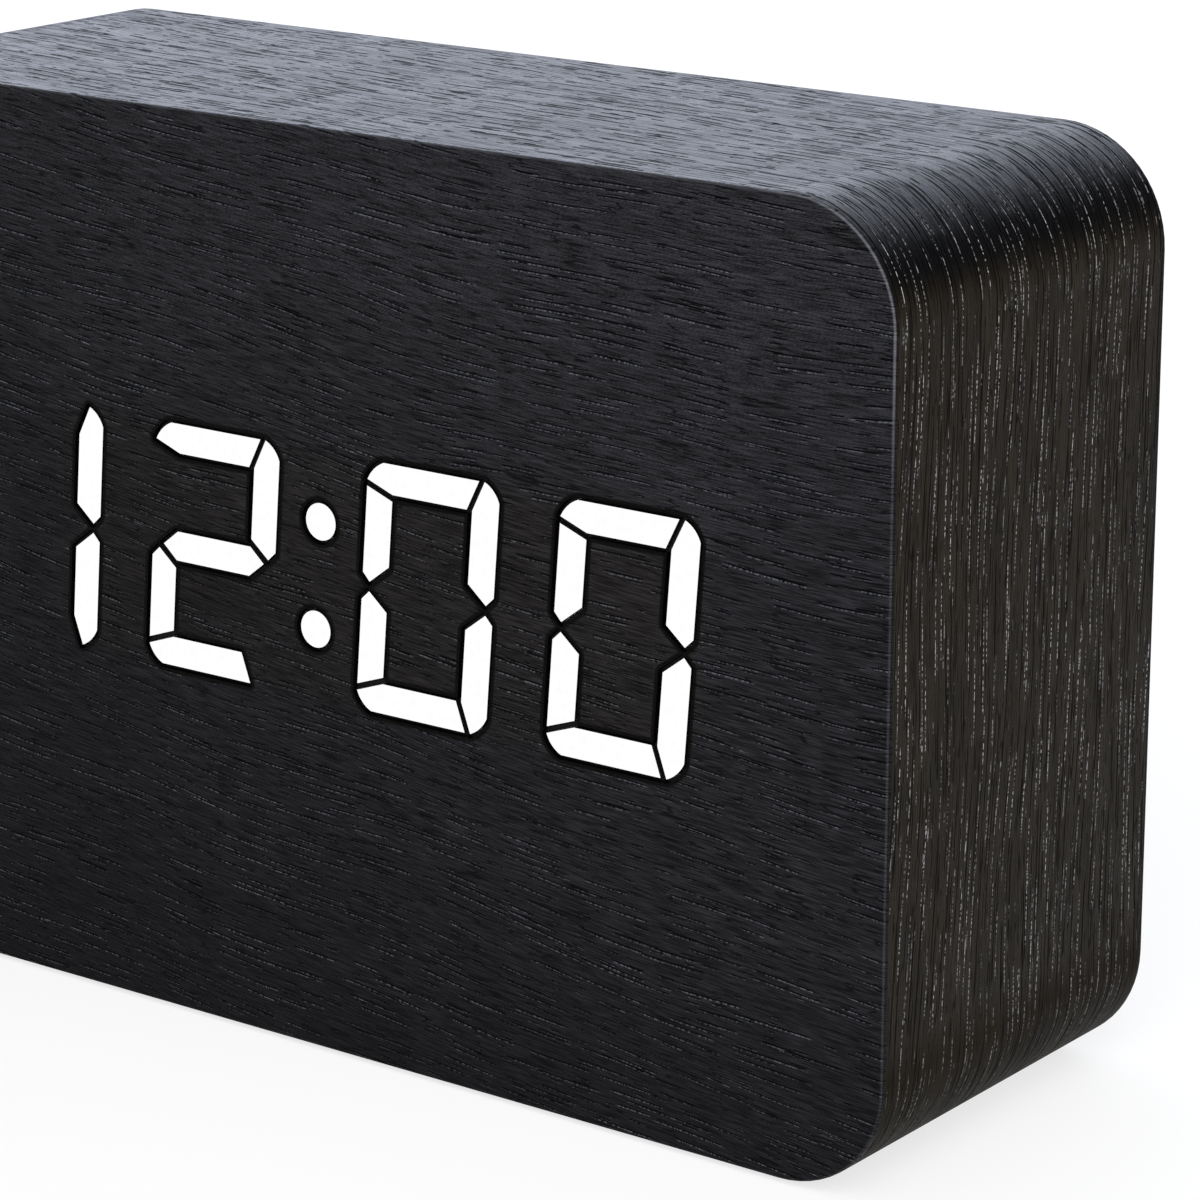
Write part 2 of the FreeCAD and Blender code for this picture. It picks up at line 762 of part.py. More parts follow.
def window_outline(clearance):
    """A function that draws the display window's outline, smaller by a clearance all round."""
    def draw(sketch):
        rounded_rectangle(
            sketch,
            "window_width - 2 * (%s)" % clearance,
            "window_height - 2 * (%s)" % clearance,
            "window_corner_radius",
            "display_shift_x", "display_shift_y")
    return draw


def make_front_board():
    """The MDF board behind the face veneer, with the display window."""
    body, board = slab(
        "front_board",
        lambda s: rounded_rectangle(
            s, "front_board_width", "front_board_height", "front_board_radius"),
        "board_back_level", "board_front_level")
    cut_slab(
        body, "display_window", window_outline("0"), "board_back_level", "board_front_level")

    def pilots(sketch):
        for x, y in four_corners(
                "display_screw_x", "display_screw_y", "display_shift_x", "display_shift_y"):
            circle(sketch, "control_screw_radius", x, y)
    cut_slab(
        body, "display_pilots", pilots,
        "board_back_level", "board_front_level - veneer_thickness")
    return keep(body)


def make_feet():
    """Four thin rubber pads under the case."""
    body = doc.addObject("PartDesign::Body", "rubber_feet")
    body.Label = "rubber_feet"
    sketch = new_sketch(body, "pads", "0")
    for x, y in four_corners("case_width / 2 - foot_inset_x", "case_depth / 2 - foot_inset_y"):
        circle(sketch, "foot_radius", x, y)
    pad(body, sketch, "foot_thickness")
    return keep(body)


# Display

def make_mask_film():
    """The black film in the window, with a hole for every segment."""
    body, sheet = slab(
        "mask_film_blank", window_outline("film_clearance"),
        "diffuser_front_level", "board_front_level")
    holes = raise_faces(
        every_face(value("lens_clearance")),
        "diffuser_front_level - mask_thickness", "board_front_level + mask_thickness")
    tool = plain_feature("mask_holes", Part.Compound(holes))
    return keep(cut_object("mask_film", body, tool))


def make_diffuser_sheet():
    """The white sheet that the light segments stand on."""
    body, sheet = slab(
        "diffuser_sheet", window_outline("film_clearance"),
        "diffuser_back_level", "diffuser_front_level")
    return keep(body)


def flange_outline(sketch):
    """The outline of the reflector's flange and of the display board."""
    rounded_rectangle(
        sketch, "flange_width", "flange_height", "window_corner_radius",
        "display_shift_x", "display_shift_y")


def display_holes(radius):
    """A function that draws the four screw holes of the display."""
    def draw(sketch):
        for x, y in four_corners(
                "display_screw_x", "display_screw_y", "display_shift_x", "display_shift_y"):
            circle(sketch, radius, x, y)
    return draw


def make_reflector():
    """The white frame whose wells keep the light of each segment apart."""
    body, flange = slab(
        "reflector_blank", flange_outline, "display_board_level", "board_back_level")
    add_slab(
        body, "nose", window_outline("film_clearance"),
        "board_back_level", "diffuser_back_level")
    cut_slab(
        body, "reflector_holes", display_holes("control_screw_radius + screw_hole_clearance"),
        "display_board_level", "board_back_level")
    wells = raise_faces(
        every_face(), "display_board_level - mask_thickness",
        "diffuser_back_level + mask_thickness")
    tool = plain_feature("wells", Part.Compound(wells))
    return keep(cut_object("reflector_frame", body, tool))


def make_segments():
    """The white light segments: lit ones reach into the veneer's windows, dark ones stay behind."""
    top = "front_level - lens_setback"
    for digit in LIT:
        faces = [segment_face(digit, name) for name in LIT[digit]]
        solids = raise_faces(faces, "diffuser_front_level", top)
        keep(plain_feature(digit + "_segments", Part.Compound(solids)))
    dots = raise_faces(colon_faces(), "diffuser_front_level", top)
    keep(plain_feature("colon_dots", Part.Compound(dots)))
    dark = []
    for digit in LIT:
        dark += [segment_face(digit, name) for name in ALL_SEGMENTS if name not in LIT[digit]]
    solids = raise_faces(dark, "diffuser_front_level", "board_front_level")
    keep(plain_feature("unlit_segments", Part.Compound(solids)))


def make_display_board():
    """The circuit board that carries the light chips."""
    body, board = slab(
        "display_board", flange_outline, "display_back_level", "display_board_level")
    cut_slab(
        body, "display_board_holes", display_holes("control_screw_radius + screw_hole_clearance"),
        "display_back_level", "display_board_level")
    return keep(body)


def box_at(length, width, height, centre, low, turn=0.0):
    """A block on a level, with its middle at a point of the face and turned about it."""
    block = Part.makeBox(length, width, height, Vector(-length / 2, -width / 2, 0))
    block.rotate(Vector(0, 0, 0), Vector(0, 0, 1), turn)
    block.translate(Vector(centre.x, centre.y, low))
    return block


def make_light_chips():
    """Two light chips in the well of every segment, and one under each dot of the colon."""
    length = value("light_chip_length")
    width = value("light_chip_width")
    height = value("light_chip_height")
    low = value("display_board_level")
    half_bar = value("bar_height / 2")
    half_upright = value("upright_width / 2")
    upright_turn = 90 - math.degrees(math.atan(LEAN))
    middle_up = (DIGIT_HEIGHT + DIGIT_MIDDLE) / 2
    step = DIGIT_WIDTH / 6
    reach = DIGIT_HEIGHT / 16
    places = {
        "top": ((DIGIT_WIDTH / 2, DIGIT_HEIGHT - half_bar), (step, 0), 0),
        "middle": ((DIGIT_WIDTH / 2, DIGIT_MIDDLE), (step, 0), 0),
        "bottom": ((DIGIT_WIDTH / 2, half_bar), (step, 0), 0),
        "upper_left": ((half_upright, middle_up), (0, reach), upright_turn),
        "upper_right": ((DIGIT_WIDTH - half_upright, middle_up), (0, reach), upright_turn),
        "lower_left": ((half_upright, DIGIT_HEIGHT - middle_up), (0, reach), upright_turn),
        "lower_right": (
            (DIGIT_WIDTH - half_upright, DIGIT_HEIGHT - middle_up), (0, reach), upright_turn),
    }
    chips = []
    for digit in LIT:
        for name in ALL_SEGMENTS:
            (across, up), (dx, dy), turn = places[name]
            for side in (-1, 1):
                centre = on_face(digit, across + side * dx, up + side * dy)
                chips.append(box_at(length, width, height, centre, low, turn))
    for face in colon_faces():
        chips.append(box_at(length, width, height, face.CenterOfMass, low))
    return keep(plain_feature("led_chips", Part.Compound(chips)))


def make_chip(label, x, y, low, up):
    """A flat chip with a row of legs along each long side; up is +1 forward, -1 backward."""
    length = value("chip_length")
    width = value("chip_width")
    height = value("chip_height")
    leg_width = value("chip_leg_width")
    leg_reach = value("chip_leg_reach")
    leg_thickness = value("chip_leg_thickness")
    count = int(value("chip_leg_count"))
    middle = Vector(x, y, 0)
    body = box_at(length, width, height, middle, low if up > 0 else low - height)
    leg_low = low if up > 0 else low - leg_thickness
    pieces = [body]
    for index in range(count):
        along = (index - (count - 1) / 2) * length / count
        for side in (-1, 1):
            centre = middle + Vector(along, side * (width / 2 + leg_reach / 2), 0)
            pieces.append(box_at(leg_width, leg_reach, leg_thickness, centre, leg_low))
    shape = pieces[0].multiFuse(pieces[1:]).removeSplitter()
    return keep(plain_feature(label, shape))


def make_screws(label, places, radius, head_level, length, forward):
    """Pan-head screws with a cross recess; forward is +1 if the tip points to the front."""
    head_radius = value("screw_head_ratio") * radius
    head_height = value("screw_head_rise") * radius
    slot_width = value("screw_slot_width") * radius
    slot_length = value("screw_slot_length") * radius
    slot_depth = head_height / 2
    solids = []
    for x, y in places:
        head = Part.makeCylinder(head_radius, head_height)
        rim = [edge for edge in head.Edges if edge.BoundBox.ZMin > head_height - 1e-6]
        head = head.makeFillet(head_height / 2, rim)
        for turn in (0, 90):
            slot = Part.makeBox(
                slot_length, slot_width, slot_depth,
                Vector(-slot_length / 2, -slot_width / 2, head_height - slot_depth))
            slot.rotate(Vector(0, 0, 0), Vector(0, 0, 1), turn)
            head = head.cut(slot)
        shank = Part.makeCylinder(radius, length - radius, Vector(0, 0, radius - length))
        tip = Part.makeCone(radius / 3, radius, radius, Vector(0, 0, -length))
        screw = head.multiFuse([shank, tip]).removeSplitter()
        if forward > 0:
            screw.rotate(Vector(0, 0, 0), Vector(1, 0, 0), 180)
        screw.translate(Vector(x, y, head_level))
        solids.append(screw)
    return keep(plain_feature(label, Part.Compound(solids)))


def make_display_screws():
    """The four screws through the display board and the reflector into the front board."""
    places = [
        (value(x), value(y))
        for x, y in four_corners(
            "display_screw_x", "display_screw_y", "display_shift_x", "display_shift_y")]
    length = value("circuit_board_thickness + reflector_flange_thickness"
                   " + front_board_thickness - veneer_thickness")
    make_screws(
        "display_board_screws", places, value("control_screw_radius"),
        value("display_back_level"), length, 1)


# Rear cover and battery bay

def hook_places(shift):
    """The x places of the door's hooks, moved by a shift."""
    return ["bay_offset_x + %d * hook_offset + %s" % (side, shift) for side in (-1, 1)]


def make_rear_cover():
    """The rear cover: plate, battery bay, door recess, posts and holes for the controls."""
    body, plate = slab(
        "rear_cover",
        lambda s: rounded_rectangle(s, "cover_width", "cover_height", "cover_radius"),
        "cover_outer_level", "cover_inner_level")
    add_slab(
        body, "bay_block",
        lambda s: rectangle(
            s, "bay_length + 2 * bay_wall", "bay_height + 2 * bay_wall", "bay_offset_x"),
        "cover_inner_level", "bay_back_level")

    def posts(sketch):
        for x, y in four_corners("control_screw_x", "control_screw_y", "control_board_x"):
            circle(sketch, "control_post_radius", x, y)
    add_slab(body, "posts", posts, "cover_inner_level", "control_back_level")
    cut_slab(
        body, "bay_inside", lambda s: rectangle(s, "bay_length", "bay_height", "bay_offset_x"),
        "cover_inner_level", "bay_floor_level")
    cut_slab(
        body, "bay_mouth",
        lambda s: rectangle(s, "bay_length", "door_opening_height", "bay_offset_x"),
        "door_seat_level", "cover_inner_level")
    cut_slab(
        body, "door_recess",
        lambda s: rectangle(s, "recess_length", "recess_height", "recess_x"),
        "cover_outer_level", "door_seat_level")

    def notches(sketch):
        for x in hook_places("door_travel"):
            for side in (-1, 1):
                rectangle(
                    sketch, "hook_length + 2 * notch_clearance", "bay_lip * 2", x,
                    "%d * (door_opening_height / 2)" % side)
    cut_slab(body, "hook_notches", notches, "door_seat_level", "cover_inner_level")

    def tab_slots(sketch):
        for x, y in contact_tab_places():
            rectangle(
                sketch, "contact_thickness + 2 * slot_clearance",
                "contact_tab_width + 2 * slot_clearance", x, y)
    cut_slab(body, "tab_slots", tab_slots, "bay_floor_level", "bay_back_level")

    def screw_holes(radius):
        def draw(sketch):
            for x, y in four_corners("cover_screw_x", "cover_screw_y"):
                circle(sketch, radius, x, y)
        return draw
    cut_slab(
        body, "cover_screw_holes", screw_holes("cover_screw_radius + screw_hole_clearance"),
        "cover_outer_level", "cover_inner_level")
    cut_slab(
        body, "cover_screw_sinks", screw_holes("2 * cover_screw_radius"),
        "cover_outer_level", "cover_outer_level + screw_sink")

    def post_pilots(sketch):
        for x, y in four_corners("control_screw_x", "control_screw_y", "control_board_x"):
            circle(sketch, "control_screw_radius", x, y)
    cut_slab(
        body, "post_pilots", post_pilots,
        "control_front_level - control_screw_length", "control_back_level")

    def button_holes(sketch):
        for side in (-1, 0, 1):
            circle(
                sketch, "button_radius + button_clearance",
                "control_board_x + %d * button_pitch" % side, "button_rise")
    cut_slab(body, "button_holes", button_holes, "cover_outer_level", "cover_inner_level")
    cut_slab(
        body, "socket_hole",
        lambda s: rounded_rectangle(
            s, "socket_width + 2 * socket_clearance", "socket_height + 2 * socket_clearance",
            "socket_height / 2 - socket_wall + socket_clearance",
            "control_board_x + socket_x", "socket_y"),
        "cover_outer_level", "cover_inner_level")

    def vents(sketch):
        middle_x = "control_board_x + buzzer_x"
        circle(sketch, "vent_radius", middle_x, "buzzer_y")
        count = int(value("vent_count"))
        for index in range(count):
            angle = 2 * math.pi * index / count
            circle(
                sketch, "vent_radius",
                "%s + vent_ring_radius * %.6f" % (middle_x, math.cos(angle)),
                "buzzer_y + vent_ring_radius * %.6f" % math.sin(angle))
    cut_slab(body, "sound_vents", vents, "cover_outer_level", "cover_inner_level")
    return keep(body)


def make_cover_screws():
    """The four screws that hold the rear cover in the case."""
    places = [(value(x), value(y)) for x, y in four_corners("cover_screw_x", "cover_screw_y")]
    make_screws(
        "cover_screws", places, value("cover_screw_radius"),
        value("cover_outer_level + screw_sink"), value("cover_screw_length"), 1)


def make_battery_door():
    """The sliding door: plate, four hooks under the bay's lips and grip ribs."""
    body, plate = slab(
        "battery_door",
        lambda s: rectangle(s, "door_length", "door_height", "bay_offset_x"),
        "door_outer_level", "door_inner_level")

    def stems(sketch):
        for x in hook_places("0"):
            for side in (-1, 1):
                rectangle(
                    sketch, "hook_length", "hook_stem", x,
                    "%d * (door_opening_height / 2 - door_side_clearance - hook_stem / 2)" % side)
    add_slab(body, "hook_stems", stems, "door_inner_level", "foot_top_level")

    def feet(sketch):
        reach = "hook_reach + door_side_clearance + hook_stem"
        for x in hook_places("0"):
            for side in (-1, 1):
                rectangle(
                    sketch, "hook_length", reach, x,
                    "%d * (door_opening_height / 2 + hook_reach - (%s) / 2)" % (side, reach))
    add_slab(body, "hook_feet", feet, "foot_under_level", "foot_top_level")

    def ribs(sketch):
        count = int(value("grip_rib_count"))
        for index in range(count):
            rectangle(
                sketch, "grip_rib_width", "grip_rib_length",
                "bay_offset_x + door_length / 2 - grip_rib_length / 2 + %.1f * grip_rib_pitch"
                % (index - (count - 1) / 2))
    add_slab(body, "grip_ribs", ribs, "door_outer_level - grip_rib_height", "door_outer_level")
    return keep(body)


def cell_row(index):
    """The y place of the battery cell of that number, from 0 at the top."""
    return "%d * cell_pitch" % (1 - index)


def contact_tab_places():
    """The places of the two solder tabs: the top cell's end and the bottom cell's end."""
    near = "bay_offset_x - bay_length / 2 + contact_thickness / 2"
    far = "bay_offset_x + bay_length / 2 - contact_thickness / 2"
    return ((near, cell_row(0)), (far, cell_row(2)))


def make_contacts():
    """Four spring-steel plates: one at each end of the chain and two that join cells."""
    near = value("bay_offset_x - bay_length / 2")
    far = value("bay_offset_x + bay_length / 2 - contact_thickness")
    thickness = value("contact_thickness")
    width = value("contact_width")
    rise = value("contact_rise")
    floor = value("bay_floor_level")
    tab_width = value("contact_tab_width")
    tab_reach = value("bay_wall + contact_tab_length")
    pitch = value("cell_pitch")
    plates = []
    for x, low_cell, high_cell in ((near, 0, 0), (near, 2, 1), (far, 1, 0), (far, 2, 2)):
        low = value(cell_row(low_cell)) - width / 2
        height = width + (low_cell - high_cell) * pitch
        plate = Part.makeBox(thickness, height, rise, Vector(x, low, floor - rise))
        if low_cell == high_cell:
            tab_low = value(cell_row(low_cell)) - tab_width / 2
            tab = Part.makeBox(thickness, tab_width, tab_reach, Vector(x, tab_low, floor))
            plate = plate.fuse(tab).removeSplitter()
        plates.append(plate)
    return keep(plain_feature("battery_contacts", Part.Compound(plates)))


def arc_from(start, tangent, end):
    """The circular arc that leaves a point along a tangent and ends at another point."""
    chord = end - start
    sideways = chord - tangent * chord.dot(tangent)
    sideways.normalize()
    radius = chord.dot(chord) / (2 * sideways.dot(chord))
    centre = start + sideways * radius
    outward = ((start - centre) + (end - centre)).normalize()
    return Part.Arc(start, centre + outward * radius, end).toShape()


def smooth_pair(start, start_way, end, end_way):
    """Two arcs that join smoothly and run from one point and way to another."""
    chord = end - start
    both = start_way + end_way
    spread = 2 * (1 - start_way.dot(end_way))
    along = chord.dot(both)
    reach = (-along + math.sqrt(along ** 2 + spread * chord.dot(chord))) / spread
    joint = (start + start_way * reach + end - end_way * reach) * 0.5
    first = arc_from(start, start_way, joint)
    back = arc_from(end, end_way * -1.0, joint)
    points = back.discretize(3)
    second = Part.Arc(points[2], points[1], points[0]).toShape()
    if (second.Vertexes[0].Point - joint).Length > (second.Vertexes[-1].Point - joint).Length:
        second = Part.Arc(points[0], points[1], points[2]).toShape()
    return [first, second]


def make_spring(x, y, way):
    """A cone-shaped wire spring whose wide end stands on a contact plate."""
    wire_radius = value("spring_wire_radius")
    base = value("spring_base_radius")
    tip = value("spring_tip_radius")
    pitch = value("spring_pitch")
    turns = value("spring_turns")
    axis_level = value("cell_axis_level")

    def point(turn):
        radius = base + (tip - base) * turn / turns
        angle = 2 * math.pi * turn
        return Vector(
            x + way * (wire_radius + pitch * turn),
            y + radius * math.cos(angle), axis_level + radius * math.sin(angle))

    def heading(turn):
        step = 1e-4
        return (point(turn + step) - point(turn - step)).normalize()

    edges = []
    for quarter in range(int(4 * turns)):
        here = quarter / 4
        there = (quarter + 1) / 4
        edges += smooth_pair(point(here), heading(here), point(there), heading(there))
    path = Part.Wire(Part.__sortEdges__(edges))
    ring = Part.Wire(Part.Circle(point(0), heading(0), wire_radius).toShape())
    spring = path.makePipeShell([ring], True, False)
    print("battery spring: least gap between its turns %.2f mm, volume / (section x length) %.4f"
          % (least_gap(path, wire_radius, base), tube_ratio(spring, path, wire_radius)))
    return spring


def least_gap(path, wire_radius, turn_radius):
    """The least gap of a tube to itself, measured on points more than half a turn apart."""
    spacing = 0.3
    points = path.discretize(Distance=spacing)
    skip = int(math.pi * turn_radius / spacing)
    nearest = min(
        (points[first] - points[second]).Length
        for first in range(len(points))
        for second in range(first + skip, len(points)))
    return nearest - 2 * wire_radius


def tube_ratio(tube, path, radius):
    """A tube's volume over its section times its length."""
    return tube.Volume / (math.pi * radius ** 2 * path.Length)


def make_springs():
    """One spring for each cell, in turn on the near and the far plates."""
    near = value("bay_offset_x - bay_length / 2 + contact_thickness")
    far = value("bay_offset_x + bay_length / 2 - contact_thickness")
    springs = [
        make_spring(near, value(cell_row(0)), 1),
        make_spring(far, value(cell_row(1)), -1),
        make_spring(near, value(cell_row(2)), 1),
    ]
    return keep(plain_feature("battery_springs", Part.Compound(springs)))


def make_lead(label, x, y):
    """A wire from a contact's tab over to the control board in two large arcs."""
    radius = value("lead_bend_radius")
    start_level = value("bay_back_level + contact_tab_length")
    run_level = start_level + value("lead_start") + radius
    landing = value("lead_landing_x")
    board = value("control_front_level")
    bulge = radius * (1 - math.sqrt(0.5))
    points = [
        Vector(x, y, start_level),
        Vector(x, y, run_level - radius),
        Vector(x + radius, y, run_level),
        Vector(landing - radius, y, run_level),
        Vector(landing, y, run_level - radius),
        Vector(landing, y, board),
    ]
    edges = [
        Part.LineSegment(points[0], points[1]).toShape(),
        Part.Arc(points[1], Vector(x + bulge, y, run_level - bulge), points[2]).toShape(),
        Part.LineSegment(points[2], points[3]).toShape(),
        Part.Arc(
            points[3], Vector(landing - bulge, y, run_level - bulge), points[4]).toShape(),
        Part.LineSegment(points[4], points[5]).toShape(),
    ]
    path = Part.Wire(edges)
    wire_radius = value("lead_radius")
    ring = Part.Wire(Part.Circle(points[0], Vector(0, 0, 1), wire_radius).toShape())
    tube = path.makePipeShell([ring], True, False)
    print("%s: bends of %.1f mm, volume / (section x length) %.4f"
          % (label, radius, tube_ratio(tube, path, wire_radius)))
    return keep(plain_feature(label, tube))


def make_leads():
    """The red and the black battery lead."""
    names = ("negative_lead", "positive_lead")
    for label, (x, y) in zip(names, contact_tab_places()):
        make_lead(label, value(x), value(y))


# Control board and what stands on it

def make_control_board():
    """The circuit board behind the rear cover."""
    body, board = slab(
        "control_board",
        lambda s: rectangle(s, "control_board_width", "control_board_height", "control_board_x"),
        "control_back_level", "control_front_level")

    def holes(sketch):
        for x, y in four_corners("control_screw_x", "control_screw_y", "control_board_x"):
            circle(sketch, "control_screw_radius + screw_hole_clearance", x, y)
    cut_slab(body, "control_board_holes", holes, "control_back_level", "control_front_level")
    return keep(body)


def make_control_screws():
    """The four screws through the control board into the cover's posts."""
    places = [
        (value(x), value(y))
        for x, y in four_corners("control_screw_x", "control_screw_y", "control_board_x")]
    make_screws(
        "control_board_screws", places, value("control_screw_radius"),
        value("control_front_level"), value("control_screw_length"), -1)


def make_switches():
    """Three square switch housings, each with a bore for its plunger."""
    def row_of(draw):
        def place(sketch):
            for side in (-1, 0, 1):
                draw(sketch, "control_board_x + %d * button_pitch" % side)
        return place
    body, housing = slab(
        "switch_bodies",
        row_of(lambda s, x: rectangle(s, "switch_size", "switch_size", x, "button_rise")),
        "switch_top_level", "control_back_level")
    cut_slab(
        body, "switch_bores",
        row_of(lambda s, x: circle(s, "plunger_radius + plunger_clearance", x, "button_rise")),
        "switch_top_level",
        "switch_top_level + plunger_depth + button_travel + plunger_clearance")
    return keep(body)


def make_button(name, side):
    """A push button with its flange and stem, and the switch plunger it presses."""
    x = "control_board_x + %d * button_pitch" % side
    body, cap = slab(
        name + "_button", lambda s: circle(s, "button_radius", x, "button_rise"),
        "cover_outer_level - button_protrusion", "cover_inner_level")
    round_edges(body, cap, "cover_outer_level - button_protrusion", "button_round")
    add_slab(
        body, name + "_flange",
        lambda s: circle(s, "button_radius + button_flange_overlap", x, "button_rise"),
        "cover_inner_level", "flange_back_level")
    add_slab(
        body, name + "_stem", lambda s: circle(s, "button_stem_radius", x, "button_rise"),
        "flange_back_level", "plunger_top_level")
    keep(body)
    plunger, rod = slab(
        name + "_plunger", lambda s: circle(s, "plunger_radius", x, "button_rise"),
        "plunger_top_level", "switch_top_level + plunger_depth")
    keep(plunger)


def make_socket():
    """The power socket: a flat metal shell and the tongue on its plastic base."""
    x = "control_board_x + socket_x"
    inner_width = "socket_width - 2 * socket_wall"
    inner_height = "socket_height - 2 * socket_wall"
    inner_radius = "socket_height / 2 - 2 * socket_wall"

    def inside(sketch):
        rounded_rectangle(sketch, inner_width, inner_height, inner_radius, x, "socket_y")
    body, shell = slab(
        "power_socket",
        lambda s: rounded_rectangle(
            s, "socket_width", "socket_height", "socket_height / 2 - socket_wall", x, "socket_y"),
        "socket_mouth_level", "control_back_level")
    cut_slab(body, "socket_inside", inside, "socket_mouth_level", "control_back_level")
    keep(body)
    tongue, base = slab(
        "socket_tongue", inside, "control_back_level - socket_base", "control_back_level")
    add_slab(
        tongue, "tongue",
        lambda s: rectangle(s, "socket_tongue_width", "socket_tongue_thickness", x, "socket_y"),
        "socket_mouth_level + socket_tongue_setback", "control_back_level - socket_base")
    keep(tongue)


def make_buzzer():
    """The round buzzer, with its mouth towards the vents of the cover."""
    x = "control_board_x + buzzer_x"
    body, can = slab(
        "buzzer", lambda s: circle(s, "buzzer_radius", x, "buzzer_y"),
        "vent_level", "control_back_level")
    cut_slab(
        body, "buzzer_mouth", lambda s: circle(s, "buzzer_mouth_radius", x, "buzzer_y"),
        "vent_level", "vent_level + buzzer_mouth_depth")
    return keep(body)


def make_backup_cell():
    """The coin cell that keeps the time, in its round holder."""
    x = "control_board_x + cell_holder_x"
    body, holder = slab(
        "backup_cell_holder", lambda s: circle(s, "cell_holder_radius", x, "cell_holder_y"),
        "control_front_level", "control_front_level + cell_holder_height")
    cut_slab(
        body, "cell_seat",
        lambda s: circle(s, "backup_cell_radius + film_clearance", x, "cell_holder_y"),
        "control_front_level + cell_holder_floor", "control_front_level + cell_holder_height")
    keep(body)
    cell, disc = slab(
        "backup_cell", lambda s: circle(s, "backup_cell_radius", x, "cell_holder_y"),
        "control_front_level + cell_holder_floor",
        "control_front_level + cell_holder_floor + backup_cell_thickness")
    round_edges(
        cell, disc, "control_front_level + cell_holder_floor + backup_cell_thickness",
        "backup_cell_round")
    keep(cell)


def make_small_parts():
    """The crystal, the capacitors and the resistors on the front of the control board."""
    board = value("control_front_level")
    radius = value("crystal_radius")
    length = value("crystal_length")
    x = value("control_board_x + clock_chip_x")
    can = Part.makeCylinder(
        radius, length, Vector(x - length / 2, value("crystal_y"), board + radius),
        Vector(1, 0, 0))
    keep(plain_feature("crystal_can", can))
    cans = []
    for side in (-0.5, 0.5):
        centre = Vector(
            value("control_board_x + capacitor_x") + side * value("capacitor_pitch"),
            value("capacitor_y"), board)
        body = Part.makeCylinder(value("capacitor_radius"), value("capacitor_height"), centre)
        top = [edge for edge in body.Edges
               if edge.BoundBox.ZMin > board + value("capacitor_height") - 1e-4]
        cans.append(body.makeFillet(0.15 * value("capacitor_radius"), top))
    keep(plain_feature("capacitors", Part.Compound(cans)))
    chips = []
    count = int(value("resistor_count"))
    for index in range(count):
        along = (index - (count - 1) / 2) * value("resistor_pitch")
        centre = Vector(value("control_board_x + clock_chip_x / 2") + along, value("resistor_y"), 0)
        chips.append(box_at(
            value("resistor_width"), value("resistor_length"), value("resistor_height"),
            centre, board))
    keep(plain_feature("chip_resistors", Part.Compound(chips)))


# Ribbon cable

def make_connector(label, y, low, up):
    """A connector housing with a slot for the ribbon; up is +1 forward, -1 backward."""
    wall = value("connector_wall")
    clearance = value("ribbon_clearance")
    slot_length = value("ribbon_width") + 2 * clearance
    slot_width = value("ribbon_thickness") + 2 * clearance
    height = value("connector_height")
    floor = value("connector_floor")
    middle = Vector(value("ribbon_x"), y, 0)
    base = low if up > 0 else low - height
    slot_base = low + floor if up > 0 else low - height
    housing = box_at(slot_length + 2 * wall, slot_width + 2 * wall, height, middle, base)
    slot = box_at(slot_length, slot_width, height - floor, middle, slot_base)
    return keep(plain_feature(label, housing.cut(slot)))


def make_ribbon():
    """The flat ribbon: straight out of each connector, with an even bend at each end."""
    floor = value("connector_floor")
    top_y = value("ribbon_top_y")
    bottom_y = value("ribbon_bottom_y")
    display_end = value("display_back_level") - floor
    control_end = value("control_front_level") + floor
    middle = (display_end + control_end) / 2
    radius = value("ribbon_bend_radius")
    bulge = radius * (1 - math.sqrt(0.5))
    half = value("ribbon_thickness") / 2
    x = value("ribbon_x") - value("ribbon_width") / 2

    def at(y, z):
        return Vector(x, y, z)

    edges = [
        Part.LineSegment(at(top_y, display_end), at(top_y, middle + radius)).toShape(),
        Part.Arc(
            at(top_y, middle + radius), at(top_y - bulge, middle + bulge),
            at(top_y - radius, middle)).toShape(),
        Part.LineSegment(at(top_y - radius, middle), at(bottom_y + radius, middle)).toShape(),
        Part.Arc(
            at(bottom_y + radius, middle), at(bottom_y + bulge, middle - bulge),
            at(bottom_y, middle - radius)).toShape(),
        Part.LineSegment(at(bottom_y, middle - radius), at(bottom_y, control_end)).toShape(),
    ]
    section = Part.makePolygon([
        Vector(x, top_y - half, display_end),
        Vector(x + value("ribbon_width"), top_y - half, display_end),
        Vector(x + value("ribbon_width"), top_y + half, display_end),
        Vector(x, top_y + half, display_end),
        Vector(x, top_y - half, display_end),
    ])
    strip = Part.Wire(edges).makePipeShell([section], True, False)
    keep(plain_feature("ribbon_cable", strip))
    make_connector("display_connector", top_y, value("display_back_level"), -1)
    make_connector("control_connector", bottom_y, value("control_front_level"), 1)


# The whole clock

make_case_core()
make_wrap_veneer()
make_front_board()
make_front_veneer()
make_rear_veneer()
make_feet()
make_mask_film()
make_diffuser_sheet()
make_segments()
make_reflector()
make_light_chips()
make_display_board()
make_chip(
    "driver_chip", value("display_shift_x + driver_chip_x"), DISPLAY_Y,
    value("display_back_level"), -1)
make_display_screws()
make_ribbon()
make_rear_cover()
make_cover_screws()
make_battery_door()
make_contacts()
make_springs()
make_leads()
make_control_board()
make_control_screws()
make_chip(
    "clock_chip", value("control_board_x + clock_chip_x"), value("clock_chip_y"),
    value("control_front_level"), 1)
make_small_parts()
make_backup_cell()
make_buzzer()
make_socket()
make_switches()
for button_name, button_side in (("up", -1), ("down", 0), ("set", 1)):
    make_button(button_name, button_side)

doc.recompute()

# Checks before anything is written

